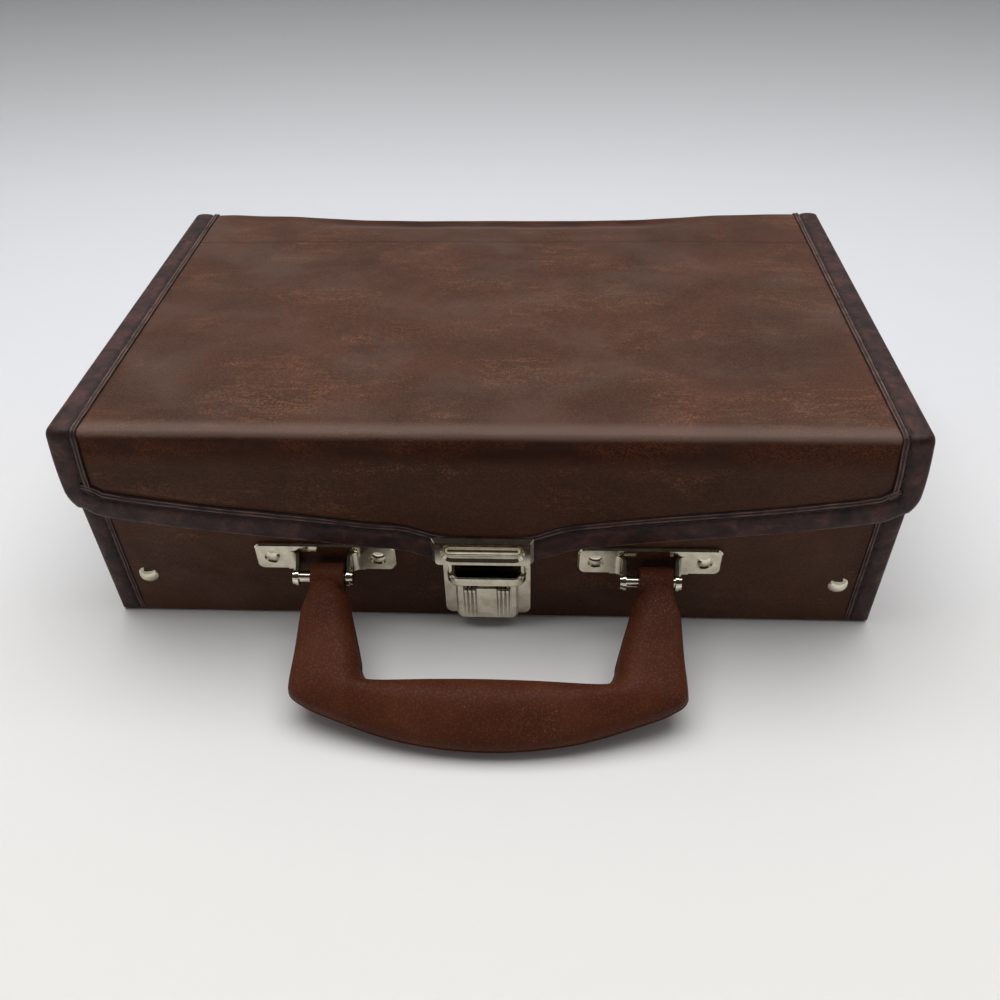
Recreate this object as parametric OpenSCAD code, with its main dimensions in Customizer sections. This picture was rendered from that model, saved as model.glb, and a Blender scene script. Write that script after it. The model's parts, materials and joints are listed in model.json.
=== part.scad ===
// Carrying case for compact cassettes: leatherette over fibreboard, bound edges, folding handle and slide lock.
// The origin is the centre of the base. X runs along the front, Y to the back and Z up.

/* [Case] */
// Overall width across the bound side edges
case_w = 300; // [280:1:340]
// Depth from the front face to the back face
case_d = 180; // [172:1:220]
// Height from the base to the top of the lid
case_h = 92.5; // [88:0.5:110]
// Radius of the covering at the lower front and back edges
base_r = 6; // [5:0.5:10]
// Distance from the bound edge in to the face of each side panel
side_inset = 7.5; // [6:0.5:10]

/* [Panels] */
// Thickness of the leatherette
cover_t = 0.8; // [0.6:0.1:1]
// Thickness of the fibreboard stiffeners
board_t = 1.8; // [1.5:0.1:2.4]
// Thickness of the lining
lining_t = 0.4; // [0.3:0.1:0.5]
// Thickness of the binding tape
tape_t = 0.7; // [0.5:0.1:0.8]
// Width of the binding on the case and the lid
tape_w = 10.5; // [8:0.5:12]
// Width of the binding on the flap
flap_tape_w = 11; // [9:0.5:12]
// Width of the tape turned down inside the mouth
rim_w = 8; // [6:0.5:12]
// Space between panels that move past each other
panel_gap = 0.3; // [0.2:0.05:0.5]

/* [Lid and flap] */
// Radius of the soft fold between the lid and the flap
crease_r = 4; // [3:0.5:6]
// Radius of the soft fold between the back wall and the lid
hinge_r = 5; // [4:0.5:6]
// Width of the soft strip at the back of the lid, which has no board under it
soft_strip = 14; // [8:1:24]
// Height of the flap's lowest edge, behind the lock
flap_low = 33.5; // [30:0.5:40]
// How far the flap's lower edge rises from the lock to its corners
flap_rise = 20; // [14:0.5:24]
// Radius of the flap's lower corners
flap_corner_r = 13; // [11:0.5:16]

/* [Handle] */
// Distance between the two handle pins
handle_pitch = 123; // [110:1:130]
// Height of the handle pins above the base
pin_z = 29; // [26:0.5:34]
// Distance of the handle pins in front of the front wall
pin_out = 8; // [7.5:0.5:10]
// Radius of the handle pins
pin_r = 2.1; // [1.8:0.1:2.3]
// Width of the handle's eye on its pin
eye_w = 13.6; // [12:0.2:15]
// Radius of the handle's eye
eye_r = 5.5; // [5:0.1:6]
// Distance from the pins to the outer edge of the grip
handle_reach = 63.7; // [58:0.1:70]
// Depth of the grip from the finger opening to its outer edge
grip_d = 25.3; // [20:0.1:30]
// Thickness of the grip
grip_t = 15; // [12:0.5:18]
// How far the handle hangs below the horizontal at rest, in degrees
handle_drop = 20.5; // [18:0.5:22]
// Extra depth of the grip's underside, as a share of how much thicker it is than the eye
grip_belly = 0.5; // [0:0.05:0.5]

/* [Brackets] */
// Width of a handle bracket
bracket_w = 54; // [50:1:60]
// Height of a handle bracket
bracket_h = 12.6; // [12:0.1:15]
// Thickness of the bracket's sheet metal
sheet_t = 1.2; // [1:0.1:1.4]
// Distance between a bracket's two rivets
bracket_rivet_pitch = 40.5; // [38:0.5:44]

/* [Lock] */
// Width of the upper lock plate on the flap
hasp_w = 38; // [34:0.5:44]
// Height of the upper lock plate
hasp_h = 13.7; // [12:0.1:16]
// How far the upper lock plate sits off the middle
hasp_shift = -1; // [-1.5:0.5:0]
// Width of the lower lock housing
lock_w = 33.4; // [31:0.2:38]
// Height of the lower lock housing
lock_h = 29.5; // [29:0.5:31]
// Width of the lock's raised channel, which the thumb piece slides on
channel_w = 24; // [23:0.5:26]
// Depth of that channel in front of the wall
channel_d = 5; // [4.8:0.1:5.5]
// Depth of the lip round the lock's mouth in front of the wall
lip_d = 6.7; // [6.4:0.1:7.4]
// Width of the thumb piece
thumb_w = 18.6; // [17:0.2:20]
// Travel of the thumb piece
thumb_travel = 3.5; // [2.5:0.5:4]

/* [Cassettes] */
// Thickness of a boxed cassette, which sets the width of a slot
cassette_t = 17; // [12:0.5:18]
// Length of a boxed cassette, front to back in the rack
cassette_l = 109; // [100:1:112]
// Thickness of the rack's card
card_t = 1.2; // [1:0.1:1.6]
// Height of the rack
rack_h = 42; // [36:1:50]

/* [Rivets] */
// Diameter of the domed rivets at the lower corners
dome_d = 8; // [7:0.5:10]
// Height of those rivets above the base
dome_z = 20.6; // [18:0.5:24]
// Diameter of every rivet's shank
shank_d = 2.8; // [2.4:0.1:3.2]

/* [Hidden] */
$fn = 48;

leatherette = "#4a2a1e";
tape_brown = "#35201c";
fibreboard = "#8a6a48";
lining_tan = "#b59a78";
nickel = "#b9b3a6";
handle_brown = "#54291d";

e = 0.01;
half_w = case_w / 2;
half_d = case_d / 2;
panel_t = cover_t + board_t + lining_t;
// Stack of the sewn seam: tape, covering, flange or lining, tape
seam_t = 2 * tape_t + 2 * cover_t;
lid_seam_t = 2 * tape_t + cover_t + lining_t;
tape_x = half_w - tape_w;
// Boards end where the covering steps in under the tape
board_x = tape_x - cover_t;
margin_x = half_w - seam_t / 2;
side_x = half_w - side_inset;
side_in = side_x - panel_t;
lid_in = case_h - panel_t;
rim_z = lid_in - panel_gap;
wall_top = rim_z - tape_t;
back_top = case_h - hinge_r;
bore_gap = 0.05;

// Moves by [x, y, z] along one line
module at(x = 0, y = 0, z = 0) { translate([x, y, z]) children(); }
// Draws the child on both sides of the middle plane
module both_sides() { children(); mirror([1, 0, 0]) children(); }
// A flat shape drawn in X and Z, made thick from y0 towards the back
module slab(y0, t) { translate([0, y0 + t, 0]) rotate([90, 0, 0]) linear_extrude(t) children(); }
// A flat shape drawn in Y and Z, made thick from x0 to the right
module side_slab(x0, t) { translate([x0, 0, 0]) rotate([90, 0, 90]) linear_extrude(t) children(); }
// Rod along X, Y or Z, centred on its given point
module rod_x(r, x0, x1, y, z) { translate([x0, y, z]) rotate([0, 90, 0]) cylinder(r = r, h = x1 - x0); }
module rod_y(r, y0, y1, x, z) { translate([x, y1, z]) rotate([90, 0, 0]) cylinder(r = r, h = y1 - y0); }
// Rectangle with round corners, centred in X, standing on z0
module round_rect(w, h, r) {
  translate([-w / 2 + r, 0]) square([w - 2 * r, h]);
  translate([-w / 2, r]) square([w, h - 2 * r]);
  for (x = [-1, 1], z = [r, h - r]) translate([x * (w / 2 - r), z]) circle(r);
}

// Case body
// Outline of front wall, base and back wall, drawn in Y and Z and moved in by o
module case_outline(o, top) {
  w = half_d - o;
  flat = half_d - base_r;
  translate([-w, base_r]) square([2 * w, top - base_r]);
  translate([-flat, o]) square([2 * flat, base_r - o + e]);
  for (s = [-1, 1]) translate([s * flat, base_r]) circle(base_r - o);
}

// Carries a profile, drawn as [x, depth below the surface], up the front, round the base and up the back
module along_case(front_top, rear_top) {
  flat = half_d - base_r;
  translate([0, -half_d, base_r]) linear_extrude(front_top - base_r) children();
  mirror([0, 1, 0]) translate([0, -half_d, base_r]) linear_extrude(rear_top - base_r) children();
  translate([0, flat, 0]) rotate([90, 0, 0]) linear_extrude(2 * flat) children();
  multmatrix([[0, 0, 1, 0], [-1, 0, 0, -flat], [0, -1, 0, base_r], [0, 0, 0, 1]])
    rotate_extrude(angle = 90) translate([base_r, 0]) rotate(90) children();
  multmatrix([[0, 0, 1, 0], [0, 1, 0, flat], [-1, 0, 0, base_r], [0, 0, 0, 1]])
    rotate_extrude(angle = 90) translate([base_r, 0]) rotate(90) children();
}

// Leatherette across the full width: its margins step in so that the tape lies flush on them
module cover_profile() {
  translate([-tape_x, 0]) square([2 * tape_x, cover_t]);
  for (x = [board_x, -margin_x]) translate([x, tape_t]) square([margin_x - board_x, cover_t]);
}

// Tape folded round the edge of a stack of thickness t, with an inner leg of width inner_w
module tape_profile(t, inner_w) {
  r = t / 2;
  translate([half_w - tape_w, 0]) square([tape_w - r, tape_t]);
  translate([half_w - inner_w, t - tape_t]) square([inner_w - r, tape_t]);
  difference() {
    translate([half_w - r, r]) circle(r);
    translate([half_w - r, r]) circle(r - tape_t);
    translate([half_w - 3 * r, -e]) square([2 * r, t + 2 * e]);
  }
}

// Places where something passes through the front wall: [x, z]
bracket_x = handle_pitch / 2;
bracket_z = pin_z - 2;
bracket_rivet_z = bracket_z + bracket_h / 2;
bracket_rivets_at = [for (s = [-1, 1], t = [-1, 1])
  [s * bracket_x + t * bracket_rivet_pitch / 2, bracket_rivet_z]];
dome_x = side_in - dome_d / 2 - 1.2;
domes_at = [[-dome_x, dome_z], [dome_x, dome_z]];
lock_z = flap_low - 0.5 - lock_h;
prong_w = 3;
prong_t = 0.8;
backing_z = base_r + 2;
prongs_at = [for (s = [-1, 1], z = [backing_z + 3, lock_z + lock_h - 7]) [s * (lock_w / 2 - 2.7), z]];

module front_holes() {
  for (p = concat(bracket_rivets_at, domes_at))
    rod_y(shank_d / 2 + bore_gap, -half_d - 1, -half_d + panel_t + 1, p[0], p[1]);
  for (p = prongs_at)
    translate([p[0] - prong_t / 2 - bore_gap, -half_d - 1, p[1] - prong_w / 2 - bore_gap])
      cube([prong_t + 2 * bore_gap, panel_t + 3, prong_w + 2 * bore_gap]);
}
module back_holes() {
  for (p = domes_at) rod_y(shank_d / 2 + bore_gap, half_d - panel_t - 1, half_d + 1, p[0], p[1]);
}

module body_cover() {
  color(leatherette) difference() {
    along_case(wall_top, back_top) cover_profile();
    front_holes();
    back_holes();
  }
}

module front_board() {
  color(fibreboard) difference() {
    translate([-board_x, -half_d + cover_t, base_r]) cube([2 * board_x, board_t, wall_top - base_r]);
    front_holes();
  }
}

module back_board() {
  color(fibreboard) difference() {
    translate([-board_x, half_d - cover_t - board_t, base_r]) cube([2 * board_x, board_t, back_top - base_r]);
    back_holes();
  }
}

module bottom_board() {
  color(fibreboard) translate([-board_x, -half_d + base_r, cover_t])
    cube([2 * board_x, case_d - 2 * base_r, board_t]);
}

module body_lining() {
  depth = cover_t + board_t;
  color(lining_tan) difference() {
    side_slab(-side_in, 2 * side_in) difference() {
      case_outline(depth, back_top);
      case_outline(panel_t, back_top + 1);
    }
    front_holes();
    back_holes();
  }
}

// Side panel: a sheet whose flange is turned out behind the margin of the body covering
module side_cover() {
  depth = tape_t + cover_t;
  color(leatherette) {
    side_slab(side_x - cover_t, cover_t) case_outline(depth, back_top);
    side_slab(side_x - e, margin_x - side_x + e) difference() {
      case_outline(depth, back_top);
      case_outline(depth + cover_t, back_top + 1);
    }
  }
}
module side_board() {
  color(fibreboard) side_slab(side_in + lining_t, board_t) case_outline(cover_t + board_t, back_top);
}
module side_lining() {
  color(lining_tan) side_slab(side_in, lining_t) case_outline(panel_t, back_top);
}
// It stops below the mouth, clear of the fold over it
module body_binding() {
  color(tape_brown) along_case(wall_top - 1.2, back_top) tape_profile(seam_t, side_inset);
}

// Covering turned over the mouth: a cap on the edge and a leg down the inside, on the front and both sides
module rim_tape() {
  side_top = back_top;
  color(tape_brown) {
    translate([-board_x, -half_d, wall_top]) cube([2 * board_x, panel_t + tape_t, tape_t]);
    translate([-side_in + tape_t, -half_d + panel_t, wall_top - rim_w])
      cube([2 * (side_in - tape_t), tape_t, rim_w + e]);
    both_sides() {
      translate([side_in - tape_t, -half_d + panel_t, side_top - rim_w])
        cube([tape_t, case_d - 2 * panel_t, rim_w + wall_top - side_top + e]);
      translate([side_in - tape_t, -half_d + panel_t, side_top])
        cube([panel_t + tape_t, case_d - 2 * panel_t, tape_t]);
    }
  }
}

// Cassette rack
rack_z = panel_t;
slot_w = cassette_t + 0.2;
slot_pitch = slot_w + card_t;
rack_in = side_in - card_t;
slot_count = floor((2 * rack_in + card_t) / slot_pitch);
rear_rail_y = half_d - base_r - 2 * card_t;
front_rail_y = rear_rail_y - cassette_l - 1 - card_t;
tab_l = dome_d + 7;

// Rack end: card along the side panel, with a tab turned in on the front wall and one on the back wall
module rack_end() {
  y0 = -half_d + panel_t;
  corner = base_r - panel_t;
  color(fibreboard) difference() {
    side_slab(rack_in, card_t) polygon([
      [y0, rack_z + corner], [y0 + corner, rack_z], [-y0 - corner, rack_z], [-y0, rack_z + corner],
      [-y0, rack_z + rack_h], [y0, rack_z + rack_h]]);
    rail_slots(card_t);
  }
  color(fibreboard) difference() {
    for (y = [y0, -y0 - card_t]) translate([rack_in - tab_l, y, rack_z + corner])
      cube([tab_l + e, card_t, rack_h - corner - 8]);
    rod_y(shank_d / 2 + bore_gap, -half_d, half_d, dome_x, dome_z);
  }
}

// Notch in each rack end, down from the top, that a rail drops into
module rail_slots(depth) {
  for (y = [front_rail_y, rear_rail_y])
    translate([rack_in - e, y - bore_gap, rack_z + rack_h / 2])
      cube([depth + 2 * e, card_t + 2 * bore_gap, rack_h / 2 + e]);
}

// Rail: long card strip, open from the top for each divider, notched from below at its ends
module rack_rail(y) {
  color(fibreboard) difference() {
    translate([-rack_in - card_t, y, rack_z]) cube([2 * (rack_in + card_t), card_t, rack_h]);
    for (i = [1:slot_count - 1])
      translate([divider_x(i) - bore_gap, y - 1, rack_z + rack_h / 2])
        cube([card_t + 2 * bore_gap, card_t + 2, rack_h / 2 + 1]);
    both_sides() translate([rack_in - bore_gap, y - 1, rack_z - 1])
      cube([card_t + 1, card_t + 2, rack_h / 2 + 1]);
  }
}
function divider_x(i) = -slot_count * slot_pitch / 2 + i * slot_pitch - card_t / 2;

// Dividers: each is open from below where it crosses the two rails
module rack_dividers() {
  y0 = front_rail_y - card_t;
  color(fibreboard) for (i = [1:slot_count - 1]) difference() {
    translate([divider_x(i), y0, rack_z]) cube([card_t, rear_rail_y + 2 * card_t - y0, rack_h]);
    for (y = [front_rail_y, rear_rail_y])
      translate([divider_x(i) - 1, y - bore_gap, rack_z - 1])
        cube([card_t + 2, card_t + 2 * bore_gap, rack_h / 2 + 1]);
  }
}

// Rivets
// Tubular rivet along Y: head in front of y0, shank back to y1, clinched tail behind it
module rivet(head_d, head_h, y0, y1) {
  r = head_d / 2;
  ball = (r * r + head_h * head_h) / (2 * head_h);
  rod_y(shank_d / 2, y0 - e, y1 + 0.6, 0, 0);
  intersection() {
    translate([0, y0 - head_h + ball, 0]) sphere(ball);
    rod_y(r, y0 - head_h, y0, 0, 0);
  }
  difference() {
    rod_y(shank_d / 2 + 1, y1, y1 + 0.6, 0, 0);
    rod_y(shank_d / 4, y1 + 0.3, y1 + 1, 0, 0);
  }
}
module washer(y, t) {
  difference() {
    rod_y(shank_d / 2 + 2.2, y, y + t, 0, 0);
    rod_y(shank_d / 2 + bore_gap, y - 1, y + t + 1, 0, 0);
  }
}
washer_t = 0.6;
wall_in = -half_d + panel_t;
dome_in = wall_in + card_t;
module at_corners() {
  for (p = domes_at) at(p[0], 0, p[1]) {
    children();
    rotate([0, 0, 180]) children();
  }
}
module corner_rivets() {
  color(nickel) at_corners() rivet(dome_d, dome_d / 4, -half_d, dome_in + washer_t);
}
module corner_washers() {
  color(nickel) at_corners() washer(dome_in, washer_t);
}
module bracket_rivets() {
  color(nickel) for (p = bracket_rivets_at) at(p[0], 0, p[1])
    rivet(2 * rivet_head_r, 0.8, -half_d - plate_d + dish_d, wall_in + washer_t);
}
module bracket_washers() {
  color(nickel) for (p = bracket_rivets_at) at(p[0], 0, p[1]) washer(wall_in, washer_t);
}

// Handle brackets
rivet_head_r = 2.75;
// Height of the pressed plate above the wall, and of the dish round each rivet
plate_d = 2;
dish_d = 0.5;
ear_gap = 2.3;
ear_in = eye_w / 2 + ear_gap;
flare_r = 2.6;
window_x = ear_in + sheet_t + flare_r;
window_h = 9.5;
ear_tip_r = 3.3;
pin_y = -half_d - pin_out;

module rounded_block(w, h, r, t) { slab(-half_d - t, t) round_rect(w, h, r); }

// Pressed plate with a bevelled rim, hollow behind, with a window that is open at the bottom
module bracket_plate() {
  bevel = 0.7;
  difference() {
    at(0, 0, bracket_z) hull() {
      rounded_block(bracket_w, bracket_h, 3, plate_d - bevel, $fn = 32);
      at(0, 0, bevel) rounded_block(bracket_w - 2 * bevel, bracket_h - 2 * bevel, 3 - bevel, plate_d, $fn = 32);
    }
    at(0, e, bracket_z + sheet_t) rounded_block(
      bracket_w - 2 * sheet_t, bracket_h - 2 * sheet_t, 3 - sheet_t, plate_d - sheet_t, $fn = 32);
    translate([-window_x, -half_d - plate_d - 1, bracket_z - 1]) cube([2 * window_x, plate_d + 2, window_h + 1]);
  }
}

// Ear seen from above: a flare out of the plate, then straight forward past the pin
module ear_plan() {
  y0 = -half_d - (plate_d - sheet_t);
  cx = window_x;
  cy = y0 - sheet_t - flare_r;
  intersection() {
    difference() {
      translate([cx, cy]) circle(flare_r + sheet_t);
      translate([cx, cy]) circle(flare_r);
    }
    translate([cx - flare_r - sheet_t, cy]) square(flare_r + sheet_t);
  }
  translate([ear_in, pin_y - ear_tip_r]) square([sheet_t, cy - pin_y + ear_tip_r + e]);
  translate([cx - e, y0 - sheet_t]) square([2, sheet_t]);
}

// Ear seen from the side: as high as the window at the plate, round about the pin
module ear_side() {
  z0 = bracket_z + 0.2;
  z1 = bracket_z + window_h;
  difference() {
    union() {
      translate([pin_y, pin_z]) circle(ear_tip_r);
      polygon([[-half_d, z0], [-half_d, z1], [-half_d - 4, z1 - 0.4],
               [pin_y, pin_z + ear_tip_r], [pin_y, pin_z - ear_tip_r], [-half_d - 4, z0]]);
    }
    translate([pin_y, pin_z]) circle(pin_r + bore_gap);
  }
}

module handle_bracket(side) {
  color(nickel) translate([side * bracket_x, 0, 0]) difference() {
    union() {
      bracket_plate();
      both_sides() intersection() {
        translate([0, 0, pin_z - eye_r]) linear_extrude(bracket_z + window_h - pin_z + eye_r) ear_plan();
        side_slab(0, window_x + 2) ear_side();
      }
    }
    for (s = [-1, 1]) at(s * bracket_rivet_pitch / 2, 0, bracket_rivet_z) {
      rod_y(shank_d / 2 + bore_gap, -half_d - plate_d - 1, -half_d + 1, 0, 0);
      rod_y(rivet_head_r + 0.4, -half_d - plate_d - 1, -half_d - plate_d + dish_d, 0, 0);
    }
  }
}

module handle_pin(side) {
  head_r = pin_r + 0.8;
  head_t = 1;
  x1 = ear_in + sheet_t;
  color(nickel) at(side * bracket_x) {
    rod_x(pin_r, -x1 - e, x1 + e, pin_y, pin_z);
    both_sides() rod_x(head_r, x1, x1 + head_t, pin_y, pin_z);
  }
}

// Lock
housing_t = 1;
lock_top = lock_z + lock_h;
lip_top = lock_top - 5.4;
lip_h = 4.6;
lip_w = lock_w - 3;
lip_r = 5.2;
channel_z = lock_z + 0.4;
channel_top = lip_top - lip_h;
channel_front = -half_d - channel_d;
cavity_w = channel_w - 2 * housing_t;
cavity_z = channel_z + housing_t;
shank_w = 8;
shank_h = 6;
slide_gap = 0.2;
slide_t = 0.8;
slide_z = lock_z + 8;
slide_y = channel_front + housing_t + slide_gap;
tongue_w = 20;
// Width of the opening behind the lip, between the two cheeks
mouth_w = 24;
tongue_t = 0.6;
tongue_z = lip_top + 0.1;
backing_t = 0.8;

// Plan of the lip, drawn in X and Y, moved in by o and ended at y1: it springs from the flange in two round corners
module lip_plan(o, y1) {
  intersection() {
    hull() both_sides() translate([lip_w / 2 - lip_r, lip_r - half_d - lip_d]) circle(lip_r - o);
    translate([-lip_w, y1 - lip_w]) square([2 * lip_w, lip_w]);
  }
}

// Pressed housing: a flange on the wall, a raised channel with a bevelled edge, a lip like a basin round the mouth,
// a cheek at each end of the mouth, and four prongs
module lock_housing() {
  bevel = 0.8;
  cheek_d = 3.5;
  cheek_x = mouth_w / 2 + 1.2;
  flange_y = -half_d - housing_t;
  channel_h = channel_top + housing_t - channel_z;
  color(nickel) difference() {
    union() {
      at(0, 0, lock_z) slab(flange_y, housing_t) round_rect(lock_w, lock_h, 3);
      hull() for (o = [0, bevel])
        at(0, 0, channel_z + o) slab(channel_front + bevel - o, channel_d - bevel + o)
          round_rect(channel_w - 2 * o, channel_h - 2 * o, 3 - o);
      hull() for (step = [[0, 1.1], [0.3, 0.4], [0.9, 0]])
        at(0, 0, channel_top + step[1]) linear_extrude(lip_h - 2 * step[1])
          lip_plan(step[0], flange_y + housing_t / 2);
    }
    translate([-cavity_w / 2, channel_front + housing_t, cavity_z]) cube([cavity_w, channel_d, lock_h]);
    at(0, 0, channel_top + housing_t) linear_extrude(lock_h) lip_plan(housing_t, flange_y);
    translate([-mouth_w / 2, flange_y - e, channel_top + housing_t]) cube([mouth_w, 2 * housing_t, lock_h]);
    translate([-shank_w / 2 - slide_gap, channel_front - 1, slide_z - thumb_travel - slide_gap])
      cube([shank_w + 2 * slide_gap, housing_t + 2, shank_h + thumb_travel + 2 * slide_gap]);
  }
  color(nickel) {
    both_sides() translate([cheek_x, -half_d - cheek_d, channel_top + housing_t - e])
      cube([housing_t, cheek_d, lock_top - channel_top - housing_t - 0.4]);
    for (p = prongs_at) {
      translate([p[0] - prong_t / 2, -half_d - housing_t / 2, p[1] - prong_w / 2])
        cube([prong_t, housing_t / 2 + panel_t + backing_t + prong_t, prong_w]);
      translate([p[0] - (p[0] > 0 ? prong_t / 2 : 2), wall_in + backing_t, p[1] - prong_w / 2])
        cube([2 + prong_t / 2, prong_t, prong_w]);
    }
  }
}

module lock_backing_plate() {
  color(nickel) difference() {
    at(0, 0, backing_z) slab(wall_in, backing_t) round_rect(lock_w, lock_top - 1 - backing_z, 2);
    front_holes();
  }
}

// Thumb piece: plate on the channel, with a ledge along its top, two groups of ribs whose tops curl forwards,
// and a shank through the slot
module thumb_piece() {
  back = channel_front - slide_gap;
  thumb_t = 1.2;
  front = back - thumb_t;
  thumb_z = lock_z + 3.5;
  thumb_h = channel_top - 0.3 - thumb_z;
  ledge_h = 0.8;
  rib_r = 0.5;
  rib_top = thumb_z + thumb_h - 1;
  color(nickel) {
    at(0, 0, thumb_z) slab(front, thumb_t) round_rect(thumb_w, thumb_h, 2);
    at(0, 0, thumb_z + thumb_h - ledge_h) slab(front - 0.5, 0.5 + e) round_rect(thumb_w - 1, ledge_h, 0.39);
    both_sides() for (i = [0:2]) let (x = thumb_w / 2 - 1.3 - i * 1.6) {
      at(x, front, thumb_z + 1.2) cylinder(r = rib_r, h = rib_top - thumb_z - 1.2);
      rod_y(rib_r + 0.15, front - 1.1, front + rib_r, x, rib_top);
    }
    translate([-shank_w / 2, back - e, slide_z]) cube([shank_w, housing_t + 2 * slide_gap + e, shank_h]);
  }
}

// Slide behind the housing's front: it carries the spring's foot below and the catch above
catch_gap = 0.4;
foot_d = 3.4;
module lock_slide() {
  top = tongue_z - catch_gap;
  catch_d = slide_t + 2.2;
  color(nickel) {
    translate([-cavity_w / 2 + 4, slide_y, slide_z]) cube([cavity_w - 8, slide_t, top - slide_z]);
    side_slab(-5, 10) translate([slide_y, top])
      polygon([[0, -1.6], [catch_d, -1.6], [catch_d, -1.1], [catch_d - 1.1, 0], [0, 0]]);
    translate([-3, slide_y, slide_z]) cube([6, foot_d, slide_t]);
  }
}

// Spring: one unbroken coil between the pocket's floor and the slide's foot
spring_turns = 4;
spring_wire_r = 0.2;
spring_r = 1.3;
module lock_spring() {
  rings = spring_turns * 8;
  sides = 6;
  z0 = cavity_z + spring_wire_r + bore_gap;
  rise = slide_z - cavity_z - 2 * spring_wire_r - 2 * bore_gap;
  points = [for (i = [0:rings], j = [0:sides - 1])
    let (a = i * 360 / 8, b = j * 360 / sides, r = spring_r + spring_wire_r * cos(b))
    [r * cos(a), slide_y + foot_d / 2 + r * sin(a), z0 + rise * i / rings + spring_wire_r * sin(b)]];
  color(nickel) tube_mesh(points, rings, sides);
}

// Closed tube from rings of points
module tube_mesh(points, rings, sides) {
  polyhedron(points, concat(
    [[for (j = [0:sides - 1]) j]],
    [[for (j = [sides - 1:-1:0]) rings * sides + j]],
    [for (i = [0:rings - 1], j = [0:sides - 1], k = [0, 1])
      let (n = (j + 1) % sides, a = i * sides, b = a + sides)
      k == 0 ? [a + j, b + n, a + n] : [a + j, b + j, b + n]]));
}

// Handle: two moulded shells, each a loft of half sections along the U from one eye to the other
// Grip centre to eye: [inner x, inner reach, outer x, outer reach, thickness]
grip_half_w = 71;
inner_reach = handle_reach - grip_d;
eye_x = handle_pitch / 2;
handle_knots = [
  [0, inner_reach, 0, handle_reach, grip_t],
  [20, inner_reach + 0.4, 30, handle_reach - 3, grip_t],
  [38, inner_reach + 1.4, 57, handle_reach - 11.2, grip_t - 0.5],
  [43.3, inner_reach + 0.8, 66.3, handle_reach - 15.2, grip_t - 1],
  [45.4, inner_reach - 2, grip_half_w - 0.8, handle_reach - 18.2, grip_t - 1.5],
  [46, inner_reach - 5.4, grip_half_w, handle_reach - 22.5, grip_t - 2],
  [48, inner_reach - 14.4, grip_half_w - 0.4, handle_reach - 34, grip_t - 2.8],
  [eye_x - eye_w / 2 - 3.4, 14, eye_x + eye_w / 2 + 1.2, 14.5, 2 * eye_r + 0.6],
  [eye_x - eye_w / 2, 5.2, eye_x + eye_w / 2, 5.2, 2 * eye_r - 1.2],
  [eye_x - eye_w / 2, 3, eye_x + eye_w / 2, 3, 2 * eye_r - 2.2]
];
seam_drop = 2.2;
spline_steps = 4;

function mirrored(k) = [-k[0], k[1], -k[2], k[3], k[4]];
function knot(k, i) = i < 0 ? mirrored(k[-i]) : k[min(i, len(k) - 1)];
function curve(a, b, c, d, t) =
  0.5 * (2 * b + (c - a) * t + (2 * a - 5 * b + 4 * c - d) * t * t + (3 * b - a - 3 * c + d) * t * t * t);
function station(k, u) = let (i = floor(u), t = u - i)
  t == 0 ? knot(k, i) : curve(knot(k, i - 1), knot(k, i), knot(k, i + 1), knot(k, i + 2), t);
function power(v, p) = sign(v) * pow(abs(v), p);

// Point of a section at angle a: 0 is the inner side and 180 the outer side, and the crown is rounded off
function below_middle(s) = s[4] / 2 + grip_belly * max(0, s[4] - 2 * eye_r);
function section_point(s, a) =
  let (w = 0.5 - 0.5 * power(cos(a), 0.75), n = (sin(a) < 0 ? below_middle(s) : s[4] / 2) * power(sin(a), 0.7))
  [s[0] + (s[2] - s[0]) * w, -(s[1] + (s[3] - s[1]) * w), n];
function seam_angle(s) = asin(pow(seam_drop / below_middle(s), 1 / 0.7));

// Loft over all stations, with the part of each section above or below the seam
module handle_loft(upper, sides) {
  last = len(handle_knots) - 1;
  rings = 2 * last * spline_steps;
  points = [for (i = [0:rings]) let (u = i / spline_steps - last,
      s = u < 0 ? mirrored(station(handle_knots, -u)) : station(handle_knots, u),
      seam = seam_angle(s),
      a0 = upper ? -seam : 180 + seam,
      sweep = upper ? 180 + 2 * seam : 180 - 2 * seam)
    for (j = [0:sides - 1]) section_point(s, a0 + j * sweep / (sides - 1))];
  tube_mesh(points, rings, sides);
}

// Places a handle part, drawn flat with its pins on the X axis, at its rest angle
module on_pins() { translate([0, pin_y, pin_z]) rotate([handle_drop, 0, 0]) children(); }
module eye(r, w) { both_sides() rod_x(r, eye_x - w / 2, eye_x + w / 2, 0, 0); }

module handle_upper_shell() {
  color(handle_brown) on_pins() difference() {
    union() {
      handle_loft(true, 22);
      eye(eye_r, eye_w);
    }
    eye(pin_r + bore_gap, eye_w + 2);
  }
}
module handle_lower_shell() {
  color(handle_brown) on_pins() difference() {
    handle_loft(false, 16);
    eye(eye_r + bore_gap, eye_w + 10);
  }
}

// Lid
fold_y = -half_d - panel_gap - panel_t;
lid_front = fold_y + crease_r;
lid_back = half_d - hinge_r;
fold_z = case_h - crease_r;

// Carries a profile, drawn as [x, depth below the surface], along the lid
module along_lid(end = lid_back) {
  translate([0, lid_front, case_h]) rotate([-90, 0, 0]) linear_extrude(end - lid_front) children();
}
// Carries a profile round a quarter turn: over the back edge, and over the front edge
module quarter(r) { rotate_extrude(angle = 90, $fn = 96) translate([r, 0]) rotate(90) children(); }
module over_back() {
  multmatrix([[0, 0, 1, 0], [1, 0, 0, lid_back], [0, 1, 0, back_top], [0, 0, 0, 1]]) quarter(hinge_r) children();
}
module over_front() {
  multmatrix([[0, 0, 1, 0], [0, -1, 0, lid_front], [1, 0, 0, fold_z], [0, 0, 0, 1]]) quarter(crease_r) children();
}

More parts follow.
